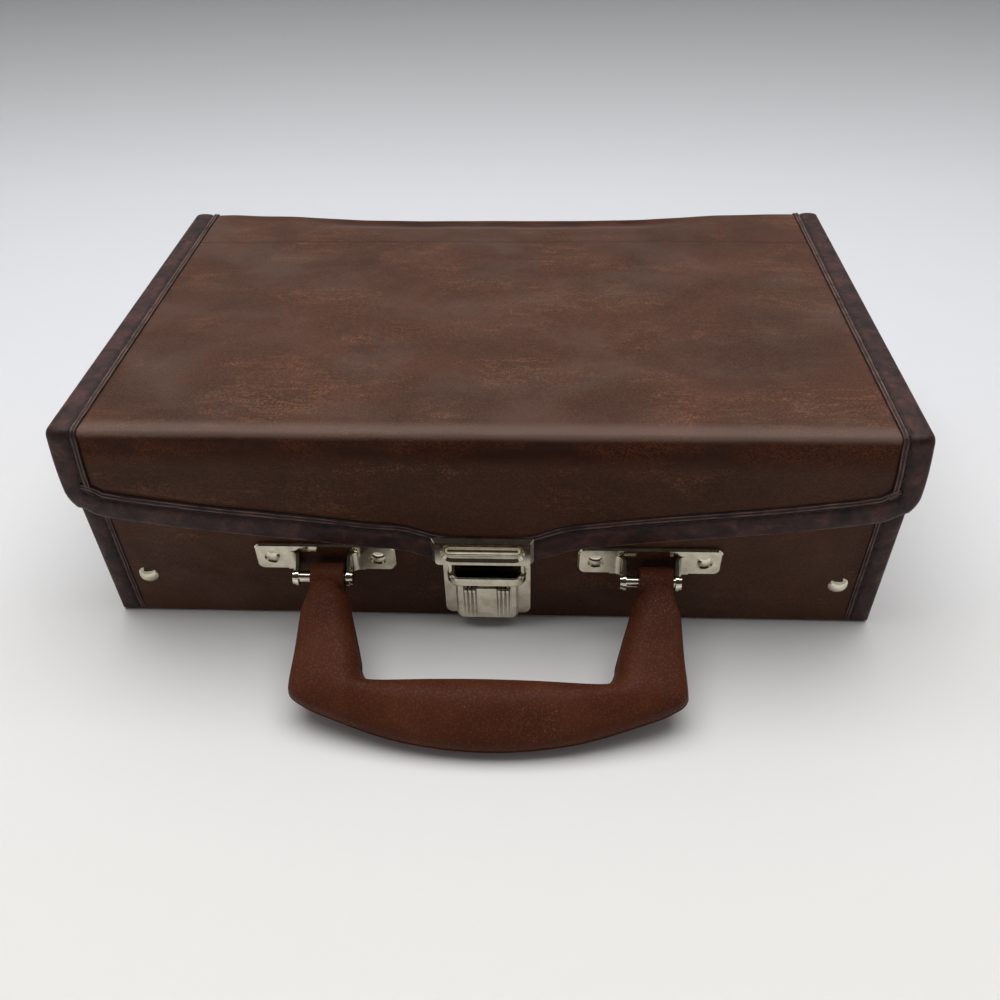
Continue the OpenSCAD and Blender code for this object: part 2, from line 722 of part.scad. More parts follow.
module lid_cover() { color(leatherette) along_lid() cover_profile(); }
module lid_board() {
  color(fibreboard) along_lid(lid_back - soft_strip)
    translate([-board_x, cover_t]) square([2 * board_x, board_t]);
}
// Lining: glued to the board, then stepped up round its edge and sewn in with the covering's margin
module lid_lining() {
  margin = tape_t + cover_t;
  color(lining_tan) along_lid() {
    translate([-board_x, cover_t + board_t]) square([2 * board_x, lining_t]);
    both_sides() {
      translate([board_x, margin]) square([lining_t, panel_t - margin]);
      translate([board_x, margin]) square([margin_x - board_x, lining_t]);
    }
  }
}
module lid_binding() { color(tape_brown) along_lid() tape_profile(lid_seam_t, tape_w); }

// Folds: bare leatherette with its bound ends
module hinge_cover() { color(leatherette) over_back() cover_profile(); }
module hinge_tape() { color(tape_brown) over_back() both_sides() tape_profile(lid_seam_t, tape_w); }
module crease_cover() { color(leatherette) over_front() cover_profile(); }
module crease_tape() { color(tape_brown) over_front() both_sides() tape_profile(lid_seam_t, tape_w); }

// Flap
// Right half of its lower edge: knots as [x, share of the rise], then the round corner
flap_steps = 5;
corner_x = half_w - flap_corner_r;
corner_z = flap_low + 1.73 * flap_rise;
corner_start = -82;
edge_knots = [
  [0, 0], [19, 0.07], [32.5, 0.32], [42, 0.4], [65, 0.565], [half_w - 50, 0.77], [half_w - 22, 0.98]
];
function edge_knot(i) = i < 0 ? [-edge_knots[-i][0], edge_knot(-i)[1]]
  : i < len(edge_knots) ? [edge_knots[i][0], flap_low + flap_rise * edge_knots[i][1]]
  : corner_point(corner_start + 20 * (i - len(edge_knots)));
function corner_point(a) = [corner_x + flap_corner_r * cos(a), corner_z + flap_corner_r * sin(a)];
flap_edge = concat(
  [for (i = [0:len(edge_knots) - 1], j = [0:flap_steps - 1])
    curve(edge_knot(i - 1), edge_knot(i), edge_knot(i + 1), edge_knot(i + 2), j / flap_steps)],
  [for (a = [corner_start:82 / 8:0.5]) corner_point(a)],
  [[half_w, fold_z]]);

// The same edge moved in by d, along its own normals
function edge_point(i) = i < 0 ? [-flap_edge[-i][0], flap_edge[-i][1]] : flap_edge[min(i, len(flap_edge) - 1)];
function inset_point(i, d) =
  let (v = edge_point(i + 1) - edge_point(i - 1)) edge_point(i) + d * [-v[1], v[0]] / norm(v);
module flap_shape(d, top = fold_z) {
  right = [for (i = [0:len(flap_edge) - 2]) inset_point(i, d)];
  half = concat(right, [[half_w - d, top]]);
  polygon(concat(half, [for (i = [len(half) - 1:-1:1]) [-half[i][0], half[i][1]]]));
}
module flap_ring(d0, d1) {
  difference() {
    flap_shape(d0);
    flap_shape(d1, fold_z + 1);
  }
}
module flap_layer(depth, t) { slab(fold_y + depth, t) children(); }

// Hasp sizes that the flap is cut for
hasp_d = 2.5;
hasp_z = lock_top;
hasp_prongs_at = [for (s = [-1, 1], z = [0.28, 0.72]) [hasp_shift + s * (hasp_w / 2 - 3), hasp_z + z * hasp_h]];
tongue_depth = panel_t - tongue_t;
board_inset = flap_tape_w + cover_t;

module tongue_shape(grow = 0) {
  at(hasp_shift, hasp_z + 2 - grow) round_rect(hasp_w - 3 + 2 * grow, hasp_h - 3.5 + 2 * grow, 1.5);
  translate([-tongue_w / 2 - grow, tongue_z]) square([tongue_w + 2 * grow, hasp_z + hasp_h / 2 - tongue_z]);
}
module prongs(grow = 0) {
  for (p = hasp_prongs_at) translate([p[0] - prong_t / 2 - grow, fold_y - e, p[1] - prong_w / 2 - grow])
    cube([prong_t + 2 * grow, panel_t + e + grow, prong_w + 2 * grow]);
}
module flap_cuts() {
  prongs(bore_gap);
  flap_layer(tongue_depth, tongue_t + 1) tongue_shape(bore_gap);
}

module flap_cover() {
  color(leatherette) difference() {
    union() {
      flap_layer(0, cover_t) flap_shape(flap_tape_w);
      flap_layer(tape_t, cover_t) flap_ring(seam_t / 2, board_inset);
    }
    flap_cuts();
  }
}
module flap_board() {
  color(fibreboard) difference() {
    flap_layer(cover_t, board_t) flap_shape(board_inset);
    flap_cuts();
  }
}
module flap_lining() {
  margin = tape_t + cover_t;
  color(lining_tan) difference() {
    union() {
      flap_layer(cover_t + board_t, lining_t) flap_shape(board_inset);
      flap_layer(margin, panel_t - margin) flap_ring(board_inset - lining_t, board_inset);
      flap_layer(margin, lining_t) flap_ring(seam_t / 2, board_inset);
    }
    flap_cuts();
  }
}
module flap_binding() {
  color(tape_brown) difference() {
    union() {
      flap_layer(0, tape_t) flap_ring(0, flap_tape_w);
      flap_layer(lid_seam_t - tape_t, tape_t) flap_ring(0, flap_tape_w);
      flap_layer(0, lid_seam_t) flap_ring(0, tape_t);
    }
    flap_cuts();
  }
}

// Upper lock plate: wide bevel, sharp upper corners and round lower ones, a raised bar in a dished recess,
// and prongs that are clinched over the tongue
module hasp_outline(o) {
  r = 2.6;
  top_r = 0.3;
  translate([hasp_shift, 0]) hull() both_sides() {
    translate([hasp_w / 2 - r, r]) circle(r - o);
    translate([hasp_w / 2 - top_r - o, hasp_h - top_r - o]) circle(top_r);
  }
}
module hasp_plate() {
  bevel = 1.2;
  front = fold_y - hasp_d;
  recess_w = hasp_w - 6.4;
  recess_h = hasp_h - 4.7;
  recess_d = 1.1;
  bar_w = recess_w - 2.8;
  bar_r = 1.9;
  bar_y = front + 1.4;
  bar_z = hasp_z + hasp_h / 2 + 0.2;
  color(nickel) {
    difference() {
      hull() for (o = [0, bevel]) at(0, 0, hasp_z) slab(front + bevel - o, hasp_d - bevel + o) hasp_outline(o);
      hull() for (o = [0, 1]) at(hasp_shift, 0, bar_z - recess_h / 2 + o)
        slab(front - 1 + o, o == 0 ? 1 + e : recess_d)
          round_rect(recess_w - 2 * o, recess_h - 2 * o, recess_h / 2 - o - e);
    }
    translate([hasp_shift, 0, 0]) intersection() {
      union() {
        rod_x(bar_r, bar_r - bar_w / 2, bar_w / 2 - bar_r, bar_y, bar_z);
        both_sides() at(bar_w / 2 - bar_r, bar_y, bar_z) sphere(bar_r);
      }
      translate([-hasp_w / 2, front - 2, hasp_z]) cube([hasp_w, hasp_d + 1, hasp_h]);
    }
    prongs();
  }
}

// Tongue: a flat plate let into the back of the flap, with the part that drops into the lock
module hasp_tongue() {
  color(nickel) difference() {
    flap_layer(tongue_depth, tongue_t) tongue_shape();
    prongs(bore_gap);
  }
}

body_cover();
front_board();
bottom_board();
back_board();
body_lining();
mirror([1, 0, 0]) side_cover();  // left_side_cover
side_cover();  // right_side_cover
mirror([1, 0, 0]) side_board();  // left_side_board
side_board();  // right_side_board
mirror([1, 0, 0]) side_lining();  // left_side_lining
side_lining();  // right_side_lining
mirror([1, 0, 0]) body_binding();  // left_body_binding
body_binding();  // right_body_binding
rim_tape();
mirror([1, 0, 0]) rack_end();  // left_rack_end
rack_end();  // right_rack_end
rack_rail(front_rail_y);  // front_rack_rail
rack_rail(rear_rail_y);  // rear_rack_rail
rack_dividers();
corner_rivets();
corner_washers();
handle_bracket(-1);  // left_handle_bracket
handle_bracket(1);  // right_handle_bracket
bracket_rivets();
bracket_washers();
handle_pin(-1);  // left_handle_pin
handle_pin(1);  // right_handle_pin
lock_housing();
lock_backing_plate();
lock_spring();
thumb_piece();
lock_slide();
handle_upper_shell();
handle_lower_shell();
lid_cover();
lid_board();
lid_lining();
mirror([1, 0, 0]) lid_binding();  // left_lid_binding
lid_binding();  // right_lid_binding
hinge_cover();
hinge_tape();
flap_cover();
flap_board();
flap_lining();
flap_binding();
crease_cover();
crease_tape();
hasp_plate();
hasp_tongue();
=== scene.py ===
# Cassette case in marbled leatherette, with bound edges, a moulded handle and a nickel slide lock.
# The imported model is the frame: hidden pieces and metal keep their solids, the soft skins are worked out here.
import json
import math
import bpy
import numpy as np
from mathutils import Matrix, Vector


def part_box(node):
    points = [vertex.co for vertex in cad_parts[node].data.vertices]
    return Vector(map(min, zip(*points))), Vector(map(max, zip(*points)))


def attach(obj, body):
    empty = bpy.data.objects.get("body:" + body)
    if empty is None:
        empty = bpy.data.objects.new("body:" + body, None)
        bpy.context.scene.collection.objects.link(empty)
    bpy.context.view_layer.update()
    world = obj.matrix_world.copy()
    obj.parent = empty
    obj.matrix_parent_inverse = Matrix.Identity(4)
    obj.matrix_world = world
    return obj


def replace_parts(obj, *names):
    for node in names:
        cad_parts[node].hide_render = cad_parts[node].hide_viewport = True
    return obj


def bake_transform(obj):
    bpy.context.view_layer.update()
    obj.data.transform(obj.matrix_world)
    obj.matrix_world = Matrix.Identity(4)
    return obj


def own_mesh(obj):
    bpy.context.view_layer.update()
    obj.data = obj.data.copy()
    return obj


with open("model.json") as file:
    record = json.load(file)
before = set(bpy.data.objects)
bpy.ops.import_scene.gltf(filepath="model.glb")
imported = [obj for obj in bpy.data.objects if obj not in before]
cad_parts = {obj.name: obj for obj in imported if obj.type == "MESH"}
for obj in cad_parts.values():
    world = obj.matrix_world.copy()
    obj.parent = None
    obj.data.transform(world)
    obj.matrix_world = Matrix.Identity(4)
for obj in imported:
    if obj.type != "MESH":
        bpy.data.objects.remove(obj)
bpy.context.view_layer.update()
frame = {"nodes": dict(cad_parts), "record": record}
nodes = frame["nodes"]
mm = 0.001   # in metres, as everything that Blender is given

# sizes that several pieces share, in mm: the first seven read from the imported solids, the rest given
caseSize = {
    "halfWidth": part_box("flap_binding")[1].x / mm,
    "front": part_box("body_cover")[0].y / mm,
    "back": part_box("body_cover")[1].y / mm,
    "top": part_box("lid_cover")[1].z / mm,
    "flapFace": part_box("flap_cover")[0].y / mm,
    "lidBack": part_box("lid_cover")[1].y / mm,
    "bodyTop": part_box("body_cover")[1].z / mm - 0.8,   # the crease rolls just over it
    "baseRadius": 1.6,   # of the covering where it turns under the base
    "bodySeam": 3.0,     # thickness of the sewn seam on the body
    "lidSeam": 2.6,      # and on the lid and the flap
    "bindingWidth": 10.8, "flapBinding": 12.8, "bodyBinding": 9.6,
    "foldRadius": 2.6,   # of the crease, as sharp as the photo shows it
    "splitY": 55.0,      # where the front skin of the lid meets the skin of the hinge
    "cornerSteps": 9,    # points in each quarter turn at the base
}
halfWidth = caseSize["halfWidth"]
creaseRadius = caseSize["foldRadius"]
lidFront = caseSize["flapFace"] + creaseRadius
hingeRadius = caseSize["back"] - caseSize["lidBack"]
creaseZ = caseSize["top"] - creaseRadius
hingeZ = caseSize["top"] - hingeRadius
print("case sizes", {name: round(value, 2) for name, value in caseSize.items()})


def linear(hexColour):
    # sRGB hex to the linear values that a shader socket takes
    rgb = [int(hexColour[i:i + 2], 16) / 255 for i in (1, 3, 5)]
    return tuple(c / 12.92 if c <= 0.04045 else ((c + 0.055) / 1.055) ** 2.4 for c in rgb) + (1.0,)


def put(tree, kind, *values, size=None, stops=None, **settings):
    # adds a node: values fill its sockets in order, settings are properties or sockets by name, size is a pattern's
    # in mm; a socket given as a value is linked
    node = tree.nodes.new("ShaderNode" + kind)
    for key in [k for k in settings if hasattr(node, k)]:
        setattr(node, key, settings.pop(key))
    if size:
        node.inputs["Scale"].default_value = 1 / (size * mm)
    for i, (place, colour) in enumerate(stops or []):
        if i > 1:
            node.color_ramp.elements.new(place)
        node.color_ramp.elements[i].position = place
        node.color_ramp.elements[i].color = linear(colour)
    named = [(node.inputs[key.replace("_", " ")], value) for key, value in settings.items()]
    for socket, value in [*zip([s for s in node.inputs if s.enabled], values), *named]:
        if isinstance(value, bpy.types.NodeSocket):
            tree.links.new(value, socket)
        elif value is not None:
            socket.default_value = linear(value) if isinstance(value, str) else value
    return next(s for s in node.outputs if s.enabled)


def newMaterial(name, **shaderValues):
    # a material with its Principled shader set, and the object coordinates that its patterns follow
    made = bpy.data.materials.new(name)
    made.use_nodes = True
    shader = made.node_tree.nodes["Principled BSDF"]
    for key, value in shaderValues.items():
        shader.inputs[key.replace("_", " ")].default_value = value
    coordinates = made.node_tree.nodes.new("ShaderNodeTexCoord").outputs["Object"]
    return made, made.node_tree, shader, coordinates


def feed(tree, shader, colour, roughness, heights):
    # colour and roughness to the shader, and heights stacked as bumps, each (height, strength, depth in mm)
    tree.links.new(colour, shader.inputs["Base Color"])
    if roughness:
        tree.links.new(roughness, shader.inputs["Roughness"])
    normal = None
    for height, strength, depth in heights:
        normal = put(tree, "Bump", Height=height, Strength=strength, Distance=depth * mm, Normal=normal)
    tree.links.new(normal, shader.inputs["Normal"])


def patches(tree, where, size, low, high, detail=4, stretch=(1, 1, 1), shift=(0, 0, 0), twist=0.4):
    # a mask from 0 to 1: clouds of this size in mm, cut softly between two levels; stretch squeezes them along an
    # axis, and shift, in steps of 100 mm, keeps two masks from showing the same clouds
    spot = put(tree, "Mapping", Vector=where, Scale=stretch, Location=[100 * mm * steps for steps in shift])
    cloud = put(tree, "TexNoise", spot, size=size, Detail=detail, Roughness=0.6, Distortion=twist)
    return put(tree, "MapRange", cloud, low, high, 0.0, 1.0, interpolation_type="SMOOTHSTEP")


def product(tree, *masks):
    # masks multiplied together; a plain number weakens them
    total = masks[0]
    for mask in masks[1:]:
        total = put(tree, "Math", total, mask, operation="MULTIPLY")
    return total


leather = {
    "deep": "#38251c", "ground": "#40291f", "warm": "#482d23",   # the marbling
    "rust": "#7c523a", "bloom": "#5f5149",                       # its worn print, and the grey where hands rubbed it
    "roll": "#75625a", "band": "#6a3512", "foldShade": "#2b1005",   # the fold over the front edge
    "blotch": 42, "streak": 8, "hair": 2.2, "speck": 0.7, "wear": 24, "rub": 22, "grain": 0.8, "swell": 16,   # mm
    "shine": 0.08, "dull": 0.48, "satin": 0.38,   # specular level, and roughness of its dark and its warm clouds
    "streaks": 0.6, "hairs": 0.4, "specks": 0.2, "lidBloom": 0.3, "bodyBloom": 0.2,   # how much each one shows
    "rollStart": 1.0, "rollEnd": 6.5,   # mm behind the crease
    # mm below the top of the lid: the painted highlight on the roll, the warm band under it with its painted shade, and
    # where the grey bloom goes
    "fold": {"rollTop": 0.9, "rollFoot": 2.4, "bandStart": 1.4, "bandFull": 2.8, "bandFade": 8.5, "bandEnd": 15,
             "bloomFade": 1.0, "bloomEnd": 3.0},
    "rolled": 0.42, "banded": 0.95, "flapBloom": 0.15, "flapShade": 0.18,   # the flap has less bloom, and is darkened by painted shade
}


def leatheretteMaterial(name, bloomAmount, creased=False):
    # PVC leatherette on cloth, printed with a marbling and embossed with a fine grain: a satin sheet of even brown with
    # rusty streaks across it that break up into specks, and a grey bloom where hands have rubbed it; the real grain is
    # about 0.5 mm, drawn a little coarser so that it shows
    made, tree, shader, where = newMaterial(name, IOR=1.46, Specular_IOR_Level=leather["shine"])
    clouds = put(tree, "TexNoise", where, size=leather["blotch"], Detail=5, Roughness=0.6, Distortion=0.5)
    stops = [(0.34, leather["deep"]), (0.5, leather["ground"]), (0.66, leather["warm"])]
    colour = put(tree, "ValToRGB", clouds, stops=stops)
    # streaks: the thin lines where a noise drawn out sideways passes its middle value
    spot = put(tree, "Mapping", Vector=where, Scale=(0.25, 1, 1))
    wander = put(tree, "TexNoise", spot, size=leather["streak"], Detail=6, Roughness=0.6, Distortion=0.7)
    fromMiddle = put(tree, "Math", put(tree, "Math", wander, 0.5, operation="SUBTRACT"), operation="ABSOLUTE")
    streaks = put(tree, "MapRange", fromMiddle, 0.04, 0.0, 0.0, 1.0, interpolation_type="SMOOTHSTEP")
    # hairs: finer and longer ones
    spot = put(tree, "Mapping", Vector=where, Scale=(0.12, 1, 1), Location=(3, 5, 7))
    hairs = put(tree, "TexNoise", spot, size=leather["hair"], Detail=5, Roughness=0.6, Distortion=0.4)
    hairs = put(tree, "MapRange", hairs, 0.58, 0.72, 0.0, leather["hairs"])
    specks = patches(tree, where, leather["speck"], 0.36, 0.7, 2, shift=(2, 2, 9))
    worn = patches(tree, where, leather["wear"], 0.42, 0.66, 4, (0.6, 1, 1), (1, 8, 4))
    brushed = put(tree, "Math", put(tree, "Math", streaks, 0.22, operation="ADD"), worn, operation="MULTIPLY")
    for mask in (product(tree, brushed, specks, leather["streaks"]), product(tree, hairs, worn),
                 product(tree, specks, leather["specks"])):
        colour = put(tree, "Mix", mask, colour, leather["rust"], data_type="RGBA")
    bloom = patches(tree, where, leather["wear"], 0.4, 0.74, 8, (0.6, 1, 1), (7, 3, 5), 0.3)
    if creased:
        # the fold over the front edge: a painted highlight along its roll, a warm band under it with painted shade, its
        # orange ground showing in rubbed patches, and then the flap darkened by painted shade
        put(tree, "SeparateXYZ", where)
        place = tree.nodes[-1].outputs
        under = {key: (caseSize["top"] - down) * mm for key, down in leather["fold"].items()}
        behind = [(lidFront + leather[key]) * mm for key in ("rollEnd", "rollStart")]
        # painted highlight: a pale band along the roll of the fold, fading in from behind the crease
        roll = put(tree, "MapRange", place["Y"], *behind, 0.0, leather["rolled"], interpolation_type="SMOOTHSTEP")
        rolled = put(tree, "MapRange", place["Z"], under["rollFoot"], under["rollTop"], 0.0, 1.0)
        colour = put(tree, "Mix", product(tree, roll, rolled), colour, leather["roll"], data_type="RGBA")
        # painted shade: the band under the fold is painted dark, its warm orange showing only in rubbed patches
        below = put(tree, "MapRange", place["Z"], under["bandStart"], under["bandFull"], 0.0, 1.0)
        above = put(tree, "MapRange", place["Z"], under["bandEnd"], under["bandFade"], 0.0, 1.0)
        rubbed = patches(tree, where, leather["rub"], 0.36, 0.66, 4, (0.5, 1, 1), (4, 4, 4))
        grains = patches(tree, where, leather["speck"], 0.3, 0.75, 2, shift=(6, 1, 3))
        warmth = put(tree, "Mix", product(tree, rubbed, grains), leather["foldShade"], leather["band"],
                     data_type="RGBA")
        colour = put(tree, "Mix", product(tree, below, above, leather["banded"]), colour, warmth, data_type="RGBA")
        # painted shade over the whole flap below the fold
        colour = put(tree, "Mix", product(tree, below, leather["flapShade"]), colour, leather["foldShade"],
                     data_type="RGBA")
        onTop = put(tree, "MapRange", place["Z"], under["bloomEnd"], under["bloomFade"], leather["flapBloom"], 1.0)
        bloom = product(tree, bloom, onTop)
    colour = put(tree, "Mix", product(tree, bloom, bloomAmount), colour, leather["bloom"], data_type="RGBA")
    roughness = put(tree, "MapRange", clouds, 0.3, 0.7, leather["dull"], leather["satin"])
    pebbles = put(tree, "TexVoronoi", where, size=leather["grain"], feature="SMOOTH_F1", Smoothness=0.6)
    swell = put(tree, "TexNoise", where, size=leather["swell"], Detail=3)
    feed(tree, shader, colour, roughness, [(swell, 0.25, 0.3), (pebbles, 0.3, 0.1)])
    return made


tape = {
    # the pale colour paints highlights on the rim and the welts, broken up by wear; the near-black one paints shade in
    # the stitched groove and a shadow at the inner edge
    "deep": "#1b0d0b", "ground": "#331b17", "warm": "#4d2a20", "worn": "#7c645c", "paintedShade": "#0b0605",
    "cloud": 7, "wear": 5, "crease": 4, "pore": 0.8,   # mm
    "shine": 0.22, "dull": 0.55, "satin": 0.38,
    # lines along the tape: mm in from the rim and half their width, with a core that shows in full
    "innerWelt": (10.25, 0.3), "outerWelt": (9.05, 0.34), "groove": (7.9, 0.95), "lineCore": 0.08,
    "rimWearAndHighlight": 0.2, "rimEnd": 0.9, "tuckStart": 10.45, "tuckFull": 10.7, "shadeFull": 0.9,   # mm, but the last
}


def bindingMaterial():
    # plain PVC tape, calendered smooth and folded over the edge: darker than the leatherette, plum brown with a reddish
    # cast, with painted highlights along its rim and its welts, broken up by wear, painted shade in the stitched groove
    # and a painted shadow at its inner edge
    made, tree, shader, where = newMaterial("PVC binding tape, folded and sewn", IOR=1.5,
                                            Specular_IOR_Level=tape["shine"])
    clouds = put(tree, "TexNoise", where, size=tape["cloud"], Detail=6, Roughness=0.65, Distortion=0.6)
    stops = [(0.36, tape["deep"]), (0.52, tape["ground"]), (0.68, tape["warm"])]
    colour = put(tree, "ValToRGB", clouds, stops=stops)
    put(tree, "Attribute", attribute_name="inset")
    inset = tree.nodes[-1].outputs["Fac"]   # mm in from the rim, kept on the mesh
    rim = put(tree, "MapRange", inset, tape["rimEnd"], tape["rimWearAndHighlight"], 0.0, 1.0)
    lines = []
    for middle, half in (tape["innerWelt"], tape["outerWelt"], tape["groove"]):
        away = put(tree, "Math", put(tree, "Math", inset, middle, operation="SUBTRACT"), operation="ABSOLUTE")
        lines.append(put(tree, "MapRange", away, half, tape["lineCore"], 0.0, 1.0))
    # painted highlights: pale lines along the crests of the two welts and along the rim
    high = put(tree, "Math", put(tree, "Math", lines[0], lines[1], operation="MAXIMUM"), rim, operation="MAXIMUM")
    worn = put(tree, "MapRange", put(tree, "TexNoise", where, size=tape["wear"], Detail=5), 0.34, 0.62, 0.1, 0.7)
    # painted shadow along the inner edge, where the tape tucks against the covering
    tuck = put(tree, "MapRange", inset, tape["tuckStart"], tape["tuckFull"], 0.0, tape["shadeFull"])
    # painted shade: the stitched groove is painted near black
    for mask, finish in ((product(tree, high, worn), "worn"), (product(tree, lines[2], tape["shadeFull"]), "paintedShade"),
                         (tuck, "paintedShade")):
        colour = put(tree, "Mix", mask, colour, tape[finish], data_type="RGBA")
    roughness = put(tree, "MapRange", clouds, 0.3, 0.7, tape["dull"], tape["satin"])
    creases = put(tree, "TexNoise", where, size=tape["crease"], Detail=5, Roughness=0.62, Distortion=0.8)
    pores = put(tree, "TexNoise", where, size=tape["pore"], Detail=3)
    feed(tree, shader, colour, roughness, [(creases, 0.6, 0.6), (pores, 0.25, 0.08)])
    return made


nickel = {
    "dull": "#bbb19b", "plate": "#d6cdb8", "bright": "#e8e1d0", "rust": "#57452f", "ribShade": "#2b241a",
    "cloud": 5, "pit": 0.6, "smear": 3,   # mm
    "pitting": 0.4, "polish": 0.06, "aged": 0.17, "handled": 0.24,   # roughness where bright, aged and dulled by hands
}
thumb = {
    "innerRib": 4.8, "outerRib": 8.0, "ribPitch": 1.6, "foot": 8.4, "ledge": 21.0,   # mm
    "unshaded": 0.35, "shadeFull": 0.7, "sideStart": 0.9, "sideEnd": 1.1,   # mm from the middle of a rib
    "footShade": 0.3, "ledgeShade": 0.95,   # how much painted shade shows, low down at its foot and high up by the ledge
}


def nickelMaterial(name, roughest, ribbed=False):
    # nickel plate on pressed steel, aged: a warm mirror gone slightly cloudy, with brown pits where it has rusted
    made, tree, shader, where = newMaterial(name, Metallic=1.0)
    clouds = put(tree, "TexNoise", where, size=nickel["cloud"], Detail=5, Roughness=0.6)
    stops = [(0.3, nickel["dull"]), (0.5, nickel["plate"]), (0.72, nickel["bright"])]
    colour = put(tree, "ValToRGB", clouds, stops=stops)
    pits = patches(tree, where, nickel["pit"], 0.64, 0.72, 2, shift=(5, 1, 2))
    damp = patches(tree, where, nickel["cloud"], 0.5, 0.66, 3, shift=(3, 3, 3))
    colour = put(tree, "Mix", product(tree, pits, damp, nickel["pitting"]), colour, nickel["rust"],
                 data_type="RGBA")
    if ribbed:
        # painted shade in the grooves between the thumb piece's ribs, lighter towards its foot
        put(tree, "SeparateXYZ", where)
        place = tree.nodes[-1].outputs
        away = put(tree, "Math", place["X"], operation="ABSOLUTE")
        fromRib = put(tree, "Math", away, thumb["innerRib"] * mm, operation="SUBTRACT")
        fromRib = put(tree, "Math", fromRib, thumb["ribPitch"] / 2 * mm, operation="PINGPONG")
        groove = put(tree, "MapRange", fromRib, thumb["unshaded"] * mm, thumb["shadeFull"] * mm, 0.0, 1.0)
        inner = [(thumb["innerRib"] - thumb[key]) * mm for key in ("sideEnd", "sideStart")]
        outer = [(thumb["outerRib"] + thumb[key]) * mm for key in ("sideEnd", "sideStart")]
        fromInner = put(tree, "MapRange", away, *inner, 0.0, 1.0)
        toOuter = put(tree, "MapRange", away, *outer, 0.0, 1.0)
        upwards = put(tree, "MapRange", place["Z"], thumb["foot"] * mm, thumb["ledge"] * mm,
                      thumb["footShade"], thumb["ledgeShade"])
        # painted shade in the grooves between the ribs
        colour = put(tree, "Mix", product(tree, groove, fromInner, toOuter, upwards), colour, nickel["ribShade"],
                     data_type="RGBA")
    smears = put(tree, "TexNoise", where, size=nickel["smear"], Detail=5, Roughness=0.6)
    roughness = put(tree, "MapRange", smears, 0.3, 0.7, nickel["polish"], roughest)
    feed(tree, shader, colour, roughness, [(clouds, 0.03, 0.03)])
    return made


steel = {"deep": "#17130f", "pale": "#2e2822", "film": 4, "oiled": 0.35, "dry": 0.6}   # film in mm, then roughness


def shadeDarkSteelMaterial():
    # the lock's inner parts: unplated spring steel, oiled, with a patchy film on it, painted nearly black for the shade
    # they sit in inside the lock
    made, tree, shader, where = newMaterial("oiled spring steel", Metallic=1.0)
    film = put(tree, "TexNoise", where, size=steel["film"], Detail=4)
    colour = put(tree, "ValToRGB", film, stops=[(0.3, steel["deep"]), (0.7, steel["pale"])])
    roughness = put(tree, "MapRange", film, 0.3, 0.7, steel["oiled"], steel["dry"])
    feed(tree, shader, colour, roughness, [(film, 0.1, 0.1)])
    return made


plastic = {
    "deep": "#401f12", "ground": "#492516", "warm": "#522b1b", "tip": "#7a4f3c", "scratch": "#a98d7f",
    "cloud": 18, "grain": 0.85, "nick": 1.2,   # mm
    "shine": 0.07, "polished": 0.36, "matt": 0.58, "tips": 0.22, "scratches": 0.6,
}


def handlePlasticMaterial():
    # moulded ABS with a leather grain from the tool: reddish brown, matt in the grain, paler where rubbed and scratched
    made, tree, shader, where = newMaterial("ABS, moulded with a leather grain", IOR=1.5,
                                            Specular_IOR_Level=plastic["shine"])
    clouds = put(tree, "TexNoise", where, size=plastic["cloud"], Detail=5)
    stops = [(0.3, plastic["deep"]), (0.55, plastic["ground"]), (0.75, plastic["warm"])]
    colour = put(tree, "ValToRGB", clouds, stops=stops)
    pebbles = put(tree, "TexVoronoi", where, size=plastic["grain"], feature="SMOOTH_F1", Smoothness=0.5)
    tips = put(tree, "MapRange", pebbles, 0.45, 0.15, 0.0, plastic["tips"])
    colour = put(tree, "Mix", tips, colour, plastic["tip"], data_type="RGBA")
    nicks = patches(tree, where, plastic["nick"], 0.62, 0.7, 6, (3, 1, 1), (4, 4, 1), 2.0)
    knocked = patches(tree, where, plastic["cloud"], 0.5, 0.64, 2, shift=(6, 6, 2))
    marks = product(tree, nicks, knocked, plastic["scratches"])
    colour = put(tree, "Mix", marks, colour, plastic["scratch"], data_type="RGBA")
    roughness = put(tree, "MapRange", pebbles, 0.0, 0.6, plastic["polished"], plastic["matt"])
    feed(tree, shader, colour, roughness, [(pebbles, 0.55, 0.16)])
    return made


board = {"fibre": 1.4, "fibreboard": ("#9a7b55", "#6f5535"), "greyboard": ("#a3937a", "#7d6e58")}   # mm; pale and dark


def boardMaterial(name, pale, dark):
    # pressed from waste fibre and cut with a die: dull, with short fibres in it
    made, tree, shader, where = newMaterial(name, Roughness=0.88)
    spot = put(tree, "Mapping", Vector=where, Scale=(3, 3, 1))
    fibres = put(tree, "TexNoise", spot, size=board["fibre"], Detail=5, Roughness=0.7)
    colour = put(tree, "ValToRGB", fibres, stops=[(0.3, dark), (0.7, pale)])
    feed(tree, shader, colour, None, [(fibres, 0.3, 0.12)])
    return made


flock = {"deep": "#a08663", "pale": "#bda582", "crushed": "#8b7152", "nap": 0.7, "crush": 26}   # the last two in mm


def liningMaterial():
    # paper flocked with short rayon nap and glued to the board: tan, soft, with a little sheen at a low angle; the nap
    # is finer than it is drawn
    made, tree, shader, where = newMaterial("rayon-flocked lining paper", Roughness=0.95, Sheen_Weight=0.25)
    nap = put(tree, "TexNoise", where, size=flock["nap"], Detail=4, Roughness=0.7)
    colour = put(tree, "ValToRGB", nap, stops=[(0.35, flock["deep"]), (0.65, flock["pale"])])
    crushed = product(tree, patches(tree, where, flock["crush"], 0.35, 0.65, 3), 0.35)
    colour = put(tree, "Mix", crushed, colour, flock["crushed"], data_type="RGBA")
    feed(tree, shader, colour, None, [(nap, 0.4, 0.12)])
    return made


yarn = {"deep": "#150d0b", "pale": "#38231c", "twist": 0.35}   # mm


